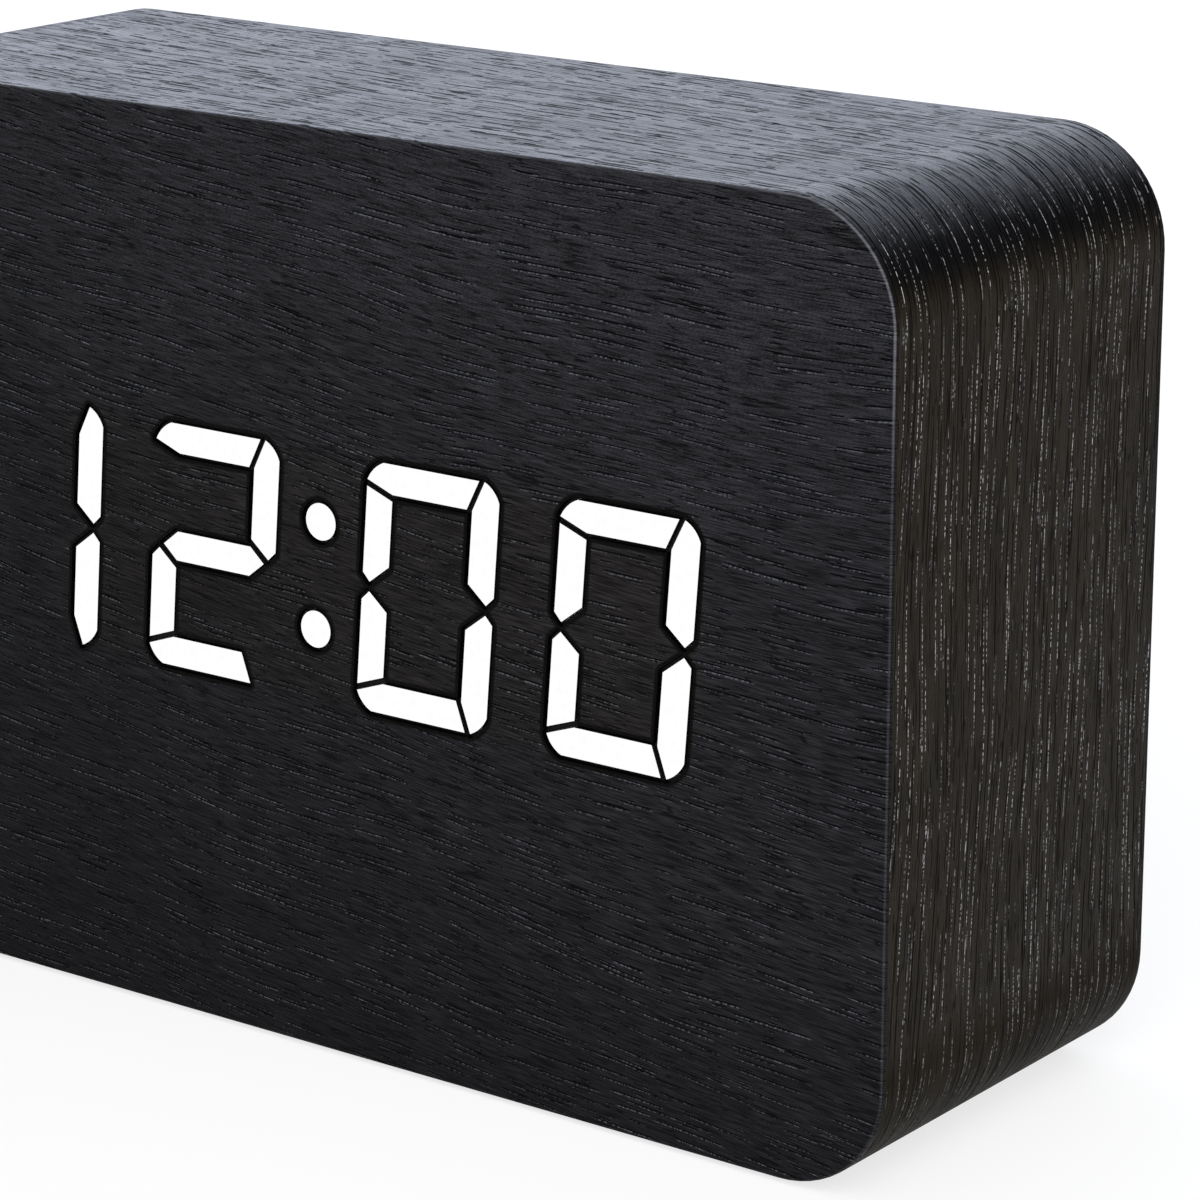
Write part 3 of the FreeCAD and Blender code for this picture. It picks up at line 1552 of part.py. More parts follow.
for item in doc.Objects:
    if "Invalid" in item.State or "Error" in item.State:
        raise RuntimeError("%s did not build: %s" % (item.Label, item.State))
    if item.TypeId == "PartDesign::Pocket":
        if item.Shape.Volume > item.BaseFeature.Shape.Volume - 1e-6:
            raise RuntimeError("%s cuts nothing" % item.Label)
for item in parts:
    if item.Shape.isNull() or not item.Shape.isValid():
        raise RuntimeError("%s has no valid shape" % item.Label)

os.makedirs("parts", exist_ok=True)
for item in parts:
    item.Shape.exportStep("parts/%s.step" % item.Label)
    print("%-24s %2d solids %10.1f mm3" % (item.Label, len(item.Shape.Solids), item.Shape.Volume))
print("%d nodes" % len(parts))
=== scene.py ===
"""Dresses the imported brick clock: black veneer, glowing digits, electronics and a studio."""

import json
import math

import bmesh
import bpy
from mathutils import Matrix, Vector


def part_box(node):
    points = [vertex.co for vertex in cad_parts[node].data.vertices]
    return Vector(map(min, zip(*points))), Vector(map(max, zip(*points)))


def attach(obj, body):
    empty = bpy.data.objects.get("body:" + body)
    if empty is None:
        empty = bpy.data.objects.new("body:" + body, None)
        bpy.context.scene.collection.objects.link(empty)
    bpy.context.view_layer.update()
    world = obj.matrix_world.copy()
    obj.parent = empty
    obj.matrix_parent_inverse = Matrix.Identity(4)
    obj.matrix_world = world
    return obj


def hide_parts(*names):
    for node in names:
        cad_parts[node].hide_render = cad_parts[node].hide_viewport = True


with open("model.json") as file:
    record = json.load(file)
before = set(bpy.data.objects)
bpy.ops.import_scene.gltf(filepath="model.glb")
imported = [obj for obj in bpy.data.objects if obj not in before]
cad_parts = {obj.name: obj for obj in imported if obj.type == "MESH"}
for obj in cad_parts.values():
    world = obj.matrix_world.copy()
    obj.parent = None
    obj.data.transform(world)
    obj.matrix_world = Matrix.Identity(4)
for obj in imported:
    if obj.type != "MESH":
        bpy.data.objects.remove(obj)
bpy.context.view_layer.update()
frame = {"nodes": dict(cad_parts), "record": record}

MM = 0.001

# The case, in millimetres, as in the CAD model
CASE_WIDTH = 135.0
CASE_DEPTH = 45.0
CASE_HEIGHT = 90.0
CORNER_RADIUS = 11.0
FOOT_THICKNESS = 0.5
VENEER = 0.6
CASE_MIDDLE_Z = FOOT_THICKNESS + CASE_HEIGHT / 2
WRAP_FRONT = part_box("wrap_veneer")[0][1] / MM
WRAP_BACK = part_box("wrap_veneer")[1][1] / MM
LENS_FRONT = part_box("colon_dots")[0][1] / MM

# The field of the digits, in millimetres
FIRST_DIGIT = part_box("hour_tens_segments")
LAST_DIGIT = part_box("minute_units_segments")
DIGITS_MIDDLE_X = (FIRST_DIGIT[0][0] + LAST_DIGIT[1][0]) / 2 / MM
DIGITS_HALF_WIDTH = (LAST_DIGIT[1][0] - FIRST_DIGIT[0][0]) / 2 / MM
DIGITS_MIDDLE_Z = (LAST_DIGIT[0][2] + LAST_DIGIT[1][2]) / 2 / MM
DIGITS_HALF_HEIGHT = (LAST_DIGIT[1][2] - LAST_DIGIT[0][2]) / 2 / MM

# Colours of the black veneer
PORE_BLACK = (0.0006, 0.0006, 0.0008)
WRAP_PORE_BLACK = (0.0006, 0.0006, 0.0006)
FACE_DARK = (0.0012, 0.0012, 0.0018)
FACE_LIGHT = (0.0310, 0.0308, 0.0355)
# Painted glow: browner face colours round the digits stand in for their light on the veneer
FACE_DARK_IN_DIGIT_GLOW = (0.0020, 0.0012, 0.0010)
FACE_LIGHT_IN_DIGIT_GLOW = (0.0330, 0.0285, 0.0265)
# Painted highlight on the lower lips of the pores of the face
PORE_LIP_HIGHLIGHT = (0.12, 0.125, 0.145)
# Painted shade along the edges of the recessed segment windows
WINDOW_EDGE_SHADE = (0.0014, 0.0011, 0.0009)
CUT_SIDE = (0.0040, 0.0034, 0.0030)
# Painted highlight along the rounded outer edge of the face
EDGE_HIGHLIGHT = (0.17, 0.175, 0.20)
TOP_DARK = (0.0006, 0.0006, 0.0009)
TOP_LIGHT = (0.0180, 0.0180, 0.0205)
# Painted sheen on the top near its front edge
TOP_FRONT_SHEEN = (0.045, 0.046, 0.052)
# Painted shade: the rounded corners of the wrap are darker than the top
CORNER_PAINTED_SHADE = (0.0035, 0.0034, 0.0040)
SIDE_DARK = (0.0040, 0.0028, 0.0012)
SIDE_LIGHT = (0.0140, 0.0088, 0.0030)
# Painted highlights: pale glints in the pores of the sides
PORE_GLINT = (0.42, 0.42, 0.43)
VENEER_SHINE = 0.04
VENEER_RELIEF = 0.05

# The photograph's view
CAMERA_SPOT = (0.2725, -0.3377, 0.1637)
CAMERA_TURN = 36.82
CAMERA_TILT = -15.94
FOCAL_LENGTH = 137.3
SENSOR_WIDTH = 36.0


# Materials

class Recipe:
    """A material under construction, with short calls for the nodes it is made of."""

    def __init__(self, name):
        self.material = bpy.data.materials.new(name)
        self.material.use_nodes = True
        self.tree = self.material.node_tree
        self.tree.nodes.clear()

    def feed(self, node, key, given):
        """Link an input of a node to a socket, or set it to a value."""
        if isinstance(given, bpy.types.NodeSocket):
            self.tree.links.new(given, node.inputs[key])
        else:
            node.inputs[key].default_value = given

    def add(self, kind, inputs=None, **settings):
        """A node, with its inputs linked to sockets or set to values."""
        node = self.tree.nodes.new(kind)
        for key, setting in settings.items():
            setattr(node, key, setting)
        for key, given in (inputs or {}).items():
            self.feed(node, key, given)
        return node

    def math(self, operation, first, second=0.0):
        """One step of arithmetic on one or two numbers."""
        return self.add("ShaderNodeMath", {0: first, 1: second}, operation=operation).outputs[0]

    def plus(self, first, second):
        return self.math("ADD", first, second)

    def minus(self, first, second):
        return self.math("SUBTRACT", first, second)

    def times(self, first, second):
        return self.math("MULTIPLY", first, second)

    def over(self, first, second):
        return self.math("DIVIDE", first, second)

    def larger(self, first, second):
        return self.math("MAXIMUM", first, second)

    def size(self, given):
        """A number without its sign."""
        return self.math("ABSOLUTE", given)

    def below(self, given, limit):
        """1 where a number is below a limit, else 0."""
        return self.math("LESS_THAN", given, limit)

    def remap(self, given, low, high, to_low=0.0, to_high=1.0, smooth=False):
        """A number taken from one range to another, and kept inside it."""
        node = self.add("ShaderNodeMapRange", {
            "Value": given, "From Min": low, "From Max": high,
            "To Min": to_low, "To Max": to_high})
        node.interpolation_type = "SMOOTHSTEP" if smooth else "LINEAR"
        return node.outputs[0]

    def vector(self, x, y, z=0.0):
        return self.add("ShaderNodeCombineXYZ", {0: x, 1: y, 2: z}).outputs[0]

    def place(self):
        """The x, y and z of a point of the surface at rest, in millimetres."""
        spot = self.add("ShaderNodeTexCoord").outputs["Object"]
        scaled = self.add(
            "ShaderNodeVectorMath", {0: spot, 1: (1000, 1000, 1000)}, operation="MULTIPLY")
        parts = self.add("ShaderNodeSeparateXYZ", {0: scaled.outputs[0]})
        return parts.outputs[0], parts.outputs[1], parts.outputs[2]

    def noise(self, spot, scale=1.0, detail=2.0, roughness=0.5, flat=True):
        """Soft noise from 0 to 1, in a plane or all through space."""
        node = self.add(
            "ShaderNodeTexNoise",
            {"Vector": spot, "Scale": scale, "Detail": detail, "Roughness": roughness},
            noise_dimensions="2D" if flat else "3D")
        return node.outputs["Fac"]

    def cells(self, spot):
        """The offset from the nearest of a scattered set of points, and two random numbers."""
        node = self.add(
            "ShaderNodeTexVoronoi", {"Vector": spot, "Scale": 1.0}, voronoi_dimensions="2D")
        offset = self.add(
            "ShaderNodeVectorMath", {0: spot, 1: node.outputs["Position"]}, operation="SUBTRACT")
        parts = self.add("ShaderNodeSeparateXYZ", {0: offset.outputs[0]})
        chance = self.add("ShaderNodeSeparateColor", {0: node.outputs["Color"]})
        return parts.outputs[0], parts.outputs[1], chance.outputs[0], chance.outputs[1]

    def blend(self, share, first, second):
        """A colour between two colours."""
        node = self.add("ShaderNodeMix", {0: share}, data_type="RGBA")
        for key, given in ((6, first), (7, second)):
            self.feed(node, key, (*given, 1.0) if isinstance(given, tuple) else given)
        return node.outputs[2]

    def bump(self, height, distance_mm, edge_mm=0.0):
        """Relief of a height in millimetres, over edges that look rounded by a radius."""
        node = self.add("ShaderNodeBump", {
            "Height": height, "Distance": distance_mm * MM, "Strength": 1.0})
        if edge_mm:
            edge = self.add("ShaderNodeBevel", {"Radius": edge_mm * MM}, samples=4)
            self.feed(node, "Normal", edge.outputs[0])
        return node.outputs[0]

    def finish(self, **inputs):
        """Close the recipe with a Principled shader and hand out the material."""
        shader = self.add("ShaderNodeBsdfPrincipled")
        for key, given in inputs.items():
            colour = isinstance(given, tuple)
            self.feed(shader, key.replace("_", " "), (*given, 1.0) if colour else given)
        self.add("ShaderNodeOutputMaterial", {0: shader.outputs[0]})
        return self.material


def streaks(r, along, across, lengthwise, crosswise, detail=2.0, roughness=0.5):
    """Noise drawn out along the grain; the two scales are in waves per millimetre."""
    spot = r.vector(r.times(along, lengthwise), r.times(across, crosswise))
    return r.noise(spot, detail=detail, roughness=roughness)


def pores(r, along, across, period, spacing, length, width, share, seed):
    """Scattered thin strokes along the grain, and a painted highlight on each lower lip, all in
    millimetres.

    One stroke may lie in each cell of period by spacing; the share says how many cells have one.
    """
    sway_reach = 2.4
    shortest = 0.15 * length
    longest = 0.5 * length
    lip_offset = 1.1
    sway = streaks(r, along, across, 0.035, 0.1, detail=0.0)
    shifted = r.plus(across, r.times(sway, sway_reach))
    spot = r.vector(
        r.plus(r.over(along, period), seed), r.plus(r.over(shifted, spacing), 0.37 * seed))
    offset_along, offset_across, chance, size = r.cells(spot)
    half_length = r.remap(size, 0.0, 1.0, shortest, longest)
    reach = r.size(r.times(offset_along, period))
    body = r.remap(r.over(reach, half_length), 1.0, 0.75, smooth=True)
    body = r.times(body, r.below(chance, share))
    aside = r.over(r.times(offset_across, spacing), width)
    stroke = r.remap(r.size(aside), 0.8, 0.3, smooth=True)
    lip_highlight = r.remap(r.size(r.plus(aside, lip_offset)), 0.8, 0.2, smooth=True)
    return r.times(body, stroke), r.times(body, lip_highlight)


def beads(r, along, across):
    """Breaks thin strokes up into beads about a third of a millimetre apart."""
    return r.remap(streaks(r, along, across, 3.4, 3.0), 0.45, 0.60)


def fibres(r, along, across):
    """Fine fibres and broad streaks along the grain, from 0 to 1, and thin dark lines, at 0."""
    fine = streaks(r, along, across, 0.28, 7.5, detail=3.0, roughness=0.6)
    broad = streaks(r, along, across, 0.055, 0.6, detail=3.0)
    winding = streaks(r, along, across, 0.09, 1.3, detail=1.0)
    line = r.remap(r.size(r.minus(winding, 0.5)), 0.003, 0.028, smooth=True)
    gap = streaks(r, along, across, 0.3, 1.1, detail=1.0)
    line = r.larger(line, r.remap(gap, 0.46, 0.56))
    return r.remap(fine, 0.36, 0.64), r.remap(broad, 0.3, 0.7), line


def edge_distance(r, x, z):
    """How far a point lies inside the rounded outline of the case, in millimetres."""
    aside = r.minus(r.size(x), CASE_WIDTH / 2 - CORNER_RADIUS)
    above = r.minus(r.size(r.minus(z, CASE_MIDDLE_Z)), CASE_HEIGHT / 2 - CORNER_RADIUS)
    beyond = r.add("ShaderNodeVectorMath", {
        0: r.vector(r.larger(aside, 0.0), r.larger(above, 0.0))},
        operation="LENGTH").outputs["Value"]
    within = r.math("MINIMUM", r.larger(aside, above), 0.0)
    return r.minus(CORNER_RADIUS, r.plus(beyond, within))


def display_nearness(r, x, z):
    """1 over the field of the digits, fading out over a few millimetres round it."""
    fade = 2.0
    aside = r.size(r.minus(x, DIGITS_MIDDLE_X))
    above = r.size(r.minus(z, DIGITS_MIDDLE_Z))
    across = r.remap(aside, DIGITS_HALF_WIDTH + fade, DIGITS_HALF_WIDTH - fade, smooth=True)
    up = r.remap(above, DIGITS_HALF_HEIGHT + fade, DIGITS_HALF_HEIGHT - fade, smooth=True)
    return r.times(across, up)


def window_edge_shade(r, inside):
    """1 along the cut edges of the segment windows, where shade is painted round the recesses."""
    reach = 0.45 * MM
    depth = r.add(
        "ShaderNodeAmbientOcclusion", {"Distance": reach}, samples=8, inside=True,
        only_local=True)
    near = r.remap(depth.outputs["AO"], 0.97, 0.88)
    return r.times(near, r.remap(inside, 1.0, 2.0))


def face_lean(r, x, z):
    """Height across the grain of the face, which falls to the right and levels out there."""
    slope = 0.115
    levels_from = 10.0
    low_bend = 0.0003
    high_bend = 0.001
    beyond = r.larger(r.minus(x, levels_from), 0.0)
    level = r.times(r.times(beyond, beyond), r.remap(z, 15.0, 60.0, low_bend, high_bend))
    return r.plus(z, r.minus(r.times(x, slope), level))


def face_scales(r, x, z):
    """Small slanting scales that the finish of the face is broken up into, from 0 to 1."""
    skew_x = r.plus(r.times(x, 2.0), r.times(z, 1.5))
    skew_z = r.minus(r.times(z, 6.2), r.times(x, 4.6))
    return r.remap(r.noise(r.vector(skew_x, skew_z), detail=2.0, roughness=0.6), 0.38, 0.62)


def face_pores(r, x, across, broad):
    """The pores of the face, and the beaded painted highlight on their lower lips."""
    long_pore, long_lip_highlight = pores(
        r, x, across, period=9.0, spacing=0.85, length=10.0, width=0.11, share=0.7, seed=3.1)
    short_pore, short_lip_highlight = pores(
        r, x, across, period=3.0, spacing=0.6, length=2.6, width=0.085, share=0.45, seed=11.7)
    lip_highlight = r.larger(long_lip_highlight, r.times(short_lip_highlight, 0.5))
    lip_highlight = r.times(lip_highlight, beads(r, x, across))
    lip_highlight = r.times(lip_highlight, r.remap(broad, 0.1, 0.9, 0.3, 1.0))
    return r.larger(long_pore, short_pore), lip_highlight


def face_shade(r, x, z, fine, broad, line, scales):
    """How light the wood of the face is between its dark and its light colour.

    The scales show in the upper part only, above a wavy border.
    """
    contrast = 1.7
    line_darkness = 0.1
    border_wave = r.times(r.noise(r.vector(x, z), scale=0.05), 30.0)
    chipped = r.remap(r.plus(z, border_wave), 65.0, 95.0)
    shade = r.plus(r.remap(fine, 0.0, 1.0, 0.22, 0.72), r.times(broad, 0.1))
    shade = r.plus(shade, r.times(scales, r.remap(chipped, 0.0, 1.0, 0.0, 0.3)))
    shade = r.math("POWER", shade, contrast)
    return r.times(shade, r.remap(line, 0.0, 1.0, line_darkness, 1.0))


def face_painted_shade(r, x, z):
    """Painted shade over the face: darker at the lower left and along the bottom."""
    stain_and_painted_shade = r.remap(r.plus(x, r.times(z, 0.6)), -60.0, 90.0, 0.48, 1.05)
    return r.times(stain_and_painted_shade, r.remap(z, 0.0, 28.0, 0.72, 1.0))


def face_edge_highlight(r, x, y, z, inside, fine):
    """A painted highlight along the outer edge of the face, strongest along the upper part of the
    sides.
    """
    full_highlight = 0.12
    no_highlight = 0.26
    faint = 0.2
    depth = r.minus(CASE_DEPTH / 2, r.size(y))
    straight = CASE_WIDTH / 2 - CORNER_RADIUS
    edge_highlight = r.remap(r.plus(inside, depth), no_highlight, full_highlight, smooth=True)
    edge_highlight = r.times(edge_highlight, r.remap(fine, 0.0, 0.6, 0.6, 1.0))
    edge_highlight = r.times(edge_highlight, r.remap(z, 66.0, 80.0, faint, 1.0))
    return r.times(edge_highlight, r.remap(r.size(x), straight - 6.0, straight + 2.0, faint, 1.0))


def face_wood():
    """Black stained veneer of the face and the rear rim: grain along x, a painted pale edge
    highlight.
    """
    r = Recipe("black_face_veneer")
    x, y, z = r.place()
    across = face_lean(r, x, z)
    fine, broad, line = fibres(r, x, across)
    scales = face_scales(r, x, z)
    pore, lip_highlight = face_pores(r, x, across, broad)
    inside = edge_distance(r, x, z)
    cut_side_depth = 0.02
    side = r.below(inside, cut_side_depth)

    # Painted glow of the digits on the face round the display
    digit_glow = r.times(display_nearness(r, x, z), 0.55)
    dark = r.blend(digit_glow, FACE_DARK, FACE_DARK_IN_DIGIT_GLOW)
    light = r.blend(digit_glow, FACE_LIGHT, FACE_LIGHT_IN_DIGIT_GLOW)
    shade = face_shade(r, x, z, fine, broad, line, scales)
    # Painted shade, darker towards the lower left and the bottom
    wood = r.blend(face_painted_shade(r, x, z), dark, r.blend(shade, dark, light))
    # Painted highlight on the lower lips of the pores
    wood = r.blend(r.times(lip_highlight, 0.75), wood, PORE_LIP_HIGHLIGHT)
    wood = r.blend(pore, wood, PORE_BLACK)
    # Painted shade along the edges of the window recesses
    wood = r.blend(window_edge_shade(r, inside), wood, WINDOW_EDGE_SHADE)
    wood = r.blend(side, wood, CUT_SIDE)
    # Painted highlight along the outer edge
    wood = r.blend(face_edge_highlight(r, x, y, z, inside, fine), wood, EDGE_HIGHLIGHT)

    height = r.plus(r.times(fine, 0.35), r.times(scales, 0.3))
    height = r.minus(height, r.times(pore, 0.9))
    rough = r.plus(r.remap(scales, 0.0, 1.0, 0.40, 0.56), r.times(pore, 0.4))
    rough = r.minus(rough, r.times(side, 0.1))
    return r.finish(
        Base_Color=wood, Roughness=rough, Specular_IOR_Level=VENEER_SHINE,
        Normal=r.bump(height, VENEER_RELIEF))


def wrap_lean(r, along, outward):
    """Place across the grain of the wrap, which leans a little more over the top."""
    lean = 0.035
    more_lean = 0.07
    side_length = CASE_HEIGHT - 2 * CORNER_RADIUS + math.pi * CORNER_RADIUS
    over_top = r.larger(r.minus(along, side_length), 0.0)
    return r.minus(outward, r.plus(r.times(along, lean), r.times(over_top, more_lean)))


def wrap_pores(r, along, across, corner, upright):
    """The dark pores of the wrap, finer on the sides, and long grooves round its corners."""
    top_width = 0.21
    side_width = 0.10
    width = r.remap(corner, 0.0, 1.0, top_width, side_width)
    long_pore = pores(
        r, along, across, period=7.5, spacing=1.1, length=8.0, width=width, share=0.6,
        seed=5.3)[0]
    short_pore = pores(
        r, along, across, period=2.4, spacing=1.0, length=2.2, width=r.times(width, 0.8),
        share=0.4, seed=17.1)[0]
    groove = pores(
        r, along, across, period=16.0, spacing=0.85, length=18.0, width=0.16, share=0.85,
        seed=53.7)[0]
    groove = r.times(groove, r.remap(corner, 0.0, 1.0, 0.25, 1.0))
    pore = r.larger(r.larger(long_pore, short_pore), groove)
    # The pores are painted fainter on the upright sides, where their walls catch the light
    return r.times(pore, r.remap(upright, 0.0, 1.0, 1.0, 0.6))


def pore_glints(r, along, across, broad):
    """Beaded painted highlights in the pores of the sides, where their walls catch the light."""
    glint_stroke = pores(
        r, along, across, period=13.0, spacing=1.15, length=15.0, width=0.09, share=0.85,
        seed=29.3)[0]
    small_glint_stroke = pores(
        r, along, across, period=3.0, spacing=1.1, length=2.6, width=0.08, share=0.4,
        seed=41.9)[0]
    glint = r.larger(glint_stroke, r.times(small_glint_stroke, 0.6))
    glint = r.times(glint, beads(r, along, across))
    return r.times(glint, r.remap(broad, 0.15, 0.7, 0.4, 1.0))


def wrap_roughness(r, fine, broad, line, pore, low_corner):
    """Smooth closed wood between the pores; the lower corners stay dull."""
    open_roughness = 0.90
    closed_roughness = 0.27
    low_corner_roughness = 0.55
    closed = r.times(r.remap(line, 0.0, 1.0, 0.4, 1.0), r.minus(1.0, pore))
    closed = r.times(closed, r.remap(broad, 0.0, 0.9, 0.85, 1.0))
    closed = r.times(closed, r.remap(fine, 0.0, 0.9, 0.93, 1.0))
    rough = r.remap(closed, 0.0, 1.0, open_roughness, closed_roughness)
    return r.larger(rough, r.times(low_corner, low_corner_roughness))


def wrap_wood():
    """Black stained veneer that follows the case round: grain along its first map axis."""
    r = Recipe("black_wrap_veneer")
    parts = r.add("ShaderNodeSeparateXYZ", {0: r.add("ShaderNodeTexCoord").outputs["UV"]})
    along = parts.outputs[0]
    across = wrap_lean(r, along, parts.outputs[1])
    x, y, z = r.place()
    aside = r.size(x)
    fine, broad, line = fibres(r, along, across)

    side = CASE_WIDTH / 2
    upright = r.remap(aside, side - 1.0, side - 0.1)
    # Where the painted pore highlights show: the sides, fainter low down
    glint_side = r.remap(aside, side - 5.0, side - 2.0)
    glint_side = r.times(glint_side, r.remap(z, 3.0, 14.0, 0.15, 1.0))
    corner = r.remap(aside, side - 9.0, side - 3.0)
    low_corner = r.remap(z, 20.0, 12.0)
    brown = r.larger(upright, low_corner)
    front = r.remap(y, -12.0, WRAP_FRONT, smooth=True)
    # Painted sheen on the top near its front edge
    top_front_sheen = r.times(front, r.minus(1.0, corner))

    pore = wrap_pores(r, along, across, corner, upright)
    glint = pore_glints(r, along, across, broad)
    shade = r.plus(r.times(fine, 0.55), r.times(broad, 0.45))
    shade = r.times(shade, r.remap(line, 0.0, 1.0, 0.25, 1.0))
    dark = r.blend(brown, TOP_DARK, SIDE_DARK)
    # Painted shade: the corners get a darker colour than the top
    light = r.blend(corner, TOP_LIGHT, CORNER_PAINTED_SHADE)
    light = r.blend(brown, light, SIDE_LIGHT)
    light = r.blend(top_front_sheen, light, TOP_FRONT_SHEEN)
    wood = r.blend(shade, dark, light)
    wood = r.blend(pore, wood, WRAP_PORE_BLACK)
    # Painted highlights in the pores of the sides
    wood = r.blend(r.times(glint, glint_side), wood, PORE_GLINT)

    height = r.plus(r.times(fine, 0.3), r.times(broad, 0.3))
    height = r.minus(height, r.times(pore, 2.0))
    return r.finish(
        Base_Color=wood, Roughness=wrap_roughness(r, fine, broad, line, pore, low_corner),
        Specular_IOR_Level=VENEER_SHINE, Normal=r.bump(height, VENEER_RELIEF))


def glowing_lens():
    """A white light segment: its frosted front glows, its sides are dark."""
    r = Recipe("glowing_lens")
    front_depth = 0.005
    x, y, z = r.place()
    mottle = r.noise(r.vector(x, z), scale=1.4, detail=3.0)
    front = r.below(y, LENS_FRONT + front_depth)
    frosted = r.blend(r.remap(mottle, 0.3, 0.7), (0.965, 0.965, 0.97), (1.0, 1.0, 1.0))
    return r.finish(
        Base_Color=(0.006, 0.006, 0.006), Roughness=0.6, Specular_IOR_Level=0.1,
        Emission_Color=r.blend(front, (0.0, 0.0, 0.0), frosted), Emission_Strength=1.0)


def plastic(name, dark, light, grain_size=0.25, relief=0.012, roughness=(0.42, 0.55), level=0.25):
    """Moulded plastic with a fine spark texture and softly rounded edges."""
    r = Recipe(name)
    spot = r.vector(*r.place())
    speck = r.noise(spot, scale=1.0 / grain_size, detail=3.0, roughness=0.6, flat=False)
    cloud = r.noise(spot, scale=0.08, detail=3.0, flat=False)
    tone = r.plus(r.remap(cloud, 0.3, 0.7, 0.0, 0.6), r.remap(speck, 0.3, 0.7, 0.0, 0.4))
    return r.finish(
        Base_Color=r.blend(tone, dark, light),
        Roughness=r.remap(speck, 0.3, 0.7, *roughness), Specular_IOR_Level=level,
        Normal=r.bump(speck, relief, edge_mm=0.2))


def fibreboard():
    """Raw fibreboard, pale brown with short darker fibres; black stain ran over the rear edges."""
    r = Recipe("raw_fibreboard")
    x, y, z = r.place()
    spot = r.vector(x, y, z)
    speck = r.noise(spot, scale=2.5, detail=5.0, roughness=0.7, flat=False)
    cloud = r.noise(spot, scale=0.15, detail=2.0, flat=False)
    base = r.blend(r.remap(speck, 0.35, 0.65), (0.30, 0.20, 0.11), (0.55, 0.42, 0.27))
    base = r.blend(r.remap(cloud, 0.3, 0.7, 0.0, 0.25), base, (0.36, 0.25, 0.15))
    run = r.plus(y, r.times(cloud, 3.0))
    stain_and_painted_shade = r.times(r.remap(run, 13.0, 16.0), r.remap(speck, 0.25, 0.4, 0.8, 1.0))
    return r.finish(
        Base_Color=r.blend(stain_and_painted_shade, base, (0.012, 0.011, 0.011)), Roughness=0.85,
        Specular_IOR_Level=0.1, Normal=r.bump(speck, 0.08))


def metal(name, dark, light, roughness=(0.22, 0.38)):
    """Plated metal with fine lines at right angles to the clock's depth."""
    r = Recipe(name)
    x, y, z = r.place()
    spot = r.vector(r.times(x, 0.2), r.times(y, 6.0), r.times(z, 0.2))
    lines = r.noise(spot, detail=4.0, roughness=0.6, flat=False)
    return r.finish(
        Base_Color=r.blend(r.remap(lines, 0.3, 0.7), dark, light), Metallic=1.0,
        Roughness=r.remap(lines, 0.3, 0.7, *roughness), Normal=r.bump(lines, 0.004, edge_mm=0.1))


def circuit_board():
    """Green solder mask over faint copper tracks."""
    r = Recipe("circuit_board_green")
    x, y, z = r.place()
    tracks = pores(
        r, x, z, period=5.0, spacing=1.2, length=6.0, width=0.35, share=0.8, seed=2.3)[0]
    cloud = r.noise(r.vector(x, y, z), scale=0.3, detail=3.0, flat=False)
    mask = r.blend(r.remap(cloud, 0.3, 0.7), (0.008, 0.075, 0.03), (0.014, 0.11, 0.045))
    return r.finish(
        Base_Color=r.blend(r.times(tracks, 0.6), mask, (0.03, 0.19, 0.08)),
        Roughness=0.28, Normal=r.bump(tracks, 0.02))


def ribbed_ribbon():
    """Grey flat cable with one rib for each conductor."""
    r = Recipe("ribbon_cable_grey")
    conductor_pitch = 1.27
    x, y, z = r.place()
    wave = r.size(r.math("SINE", r.times(x, math.pi / conductor_pitch)))
    speck = r.noise(r.vector(x, y, z), scale=3.0, detail=2.0, flat=False)
    # Painted shade: darker between the ribs, lighter on their crests
    tone = r.times(wave, r.remap(speck, 0.3, 0.7, 0.8, 1.0))
    return r.finish(
        Base_Color=r.blend(tone, (0.12, 0.12, 0.13), (0.36, 0.36, 0.38)),
        Roughness=0.5, Normal=r.bump(wave, 0.25))


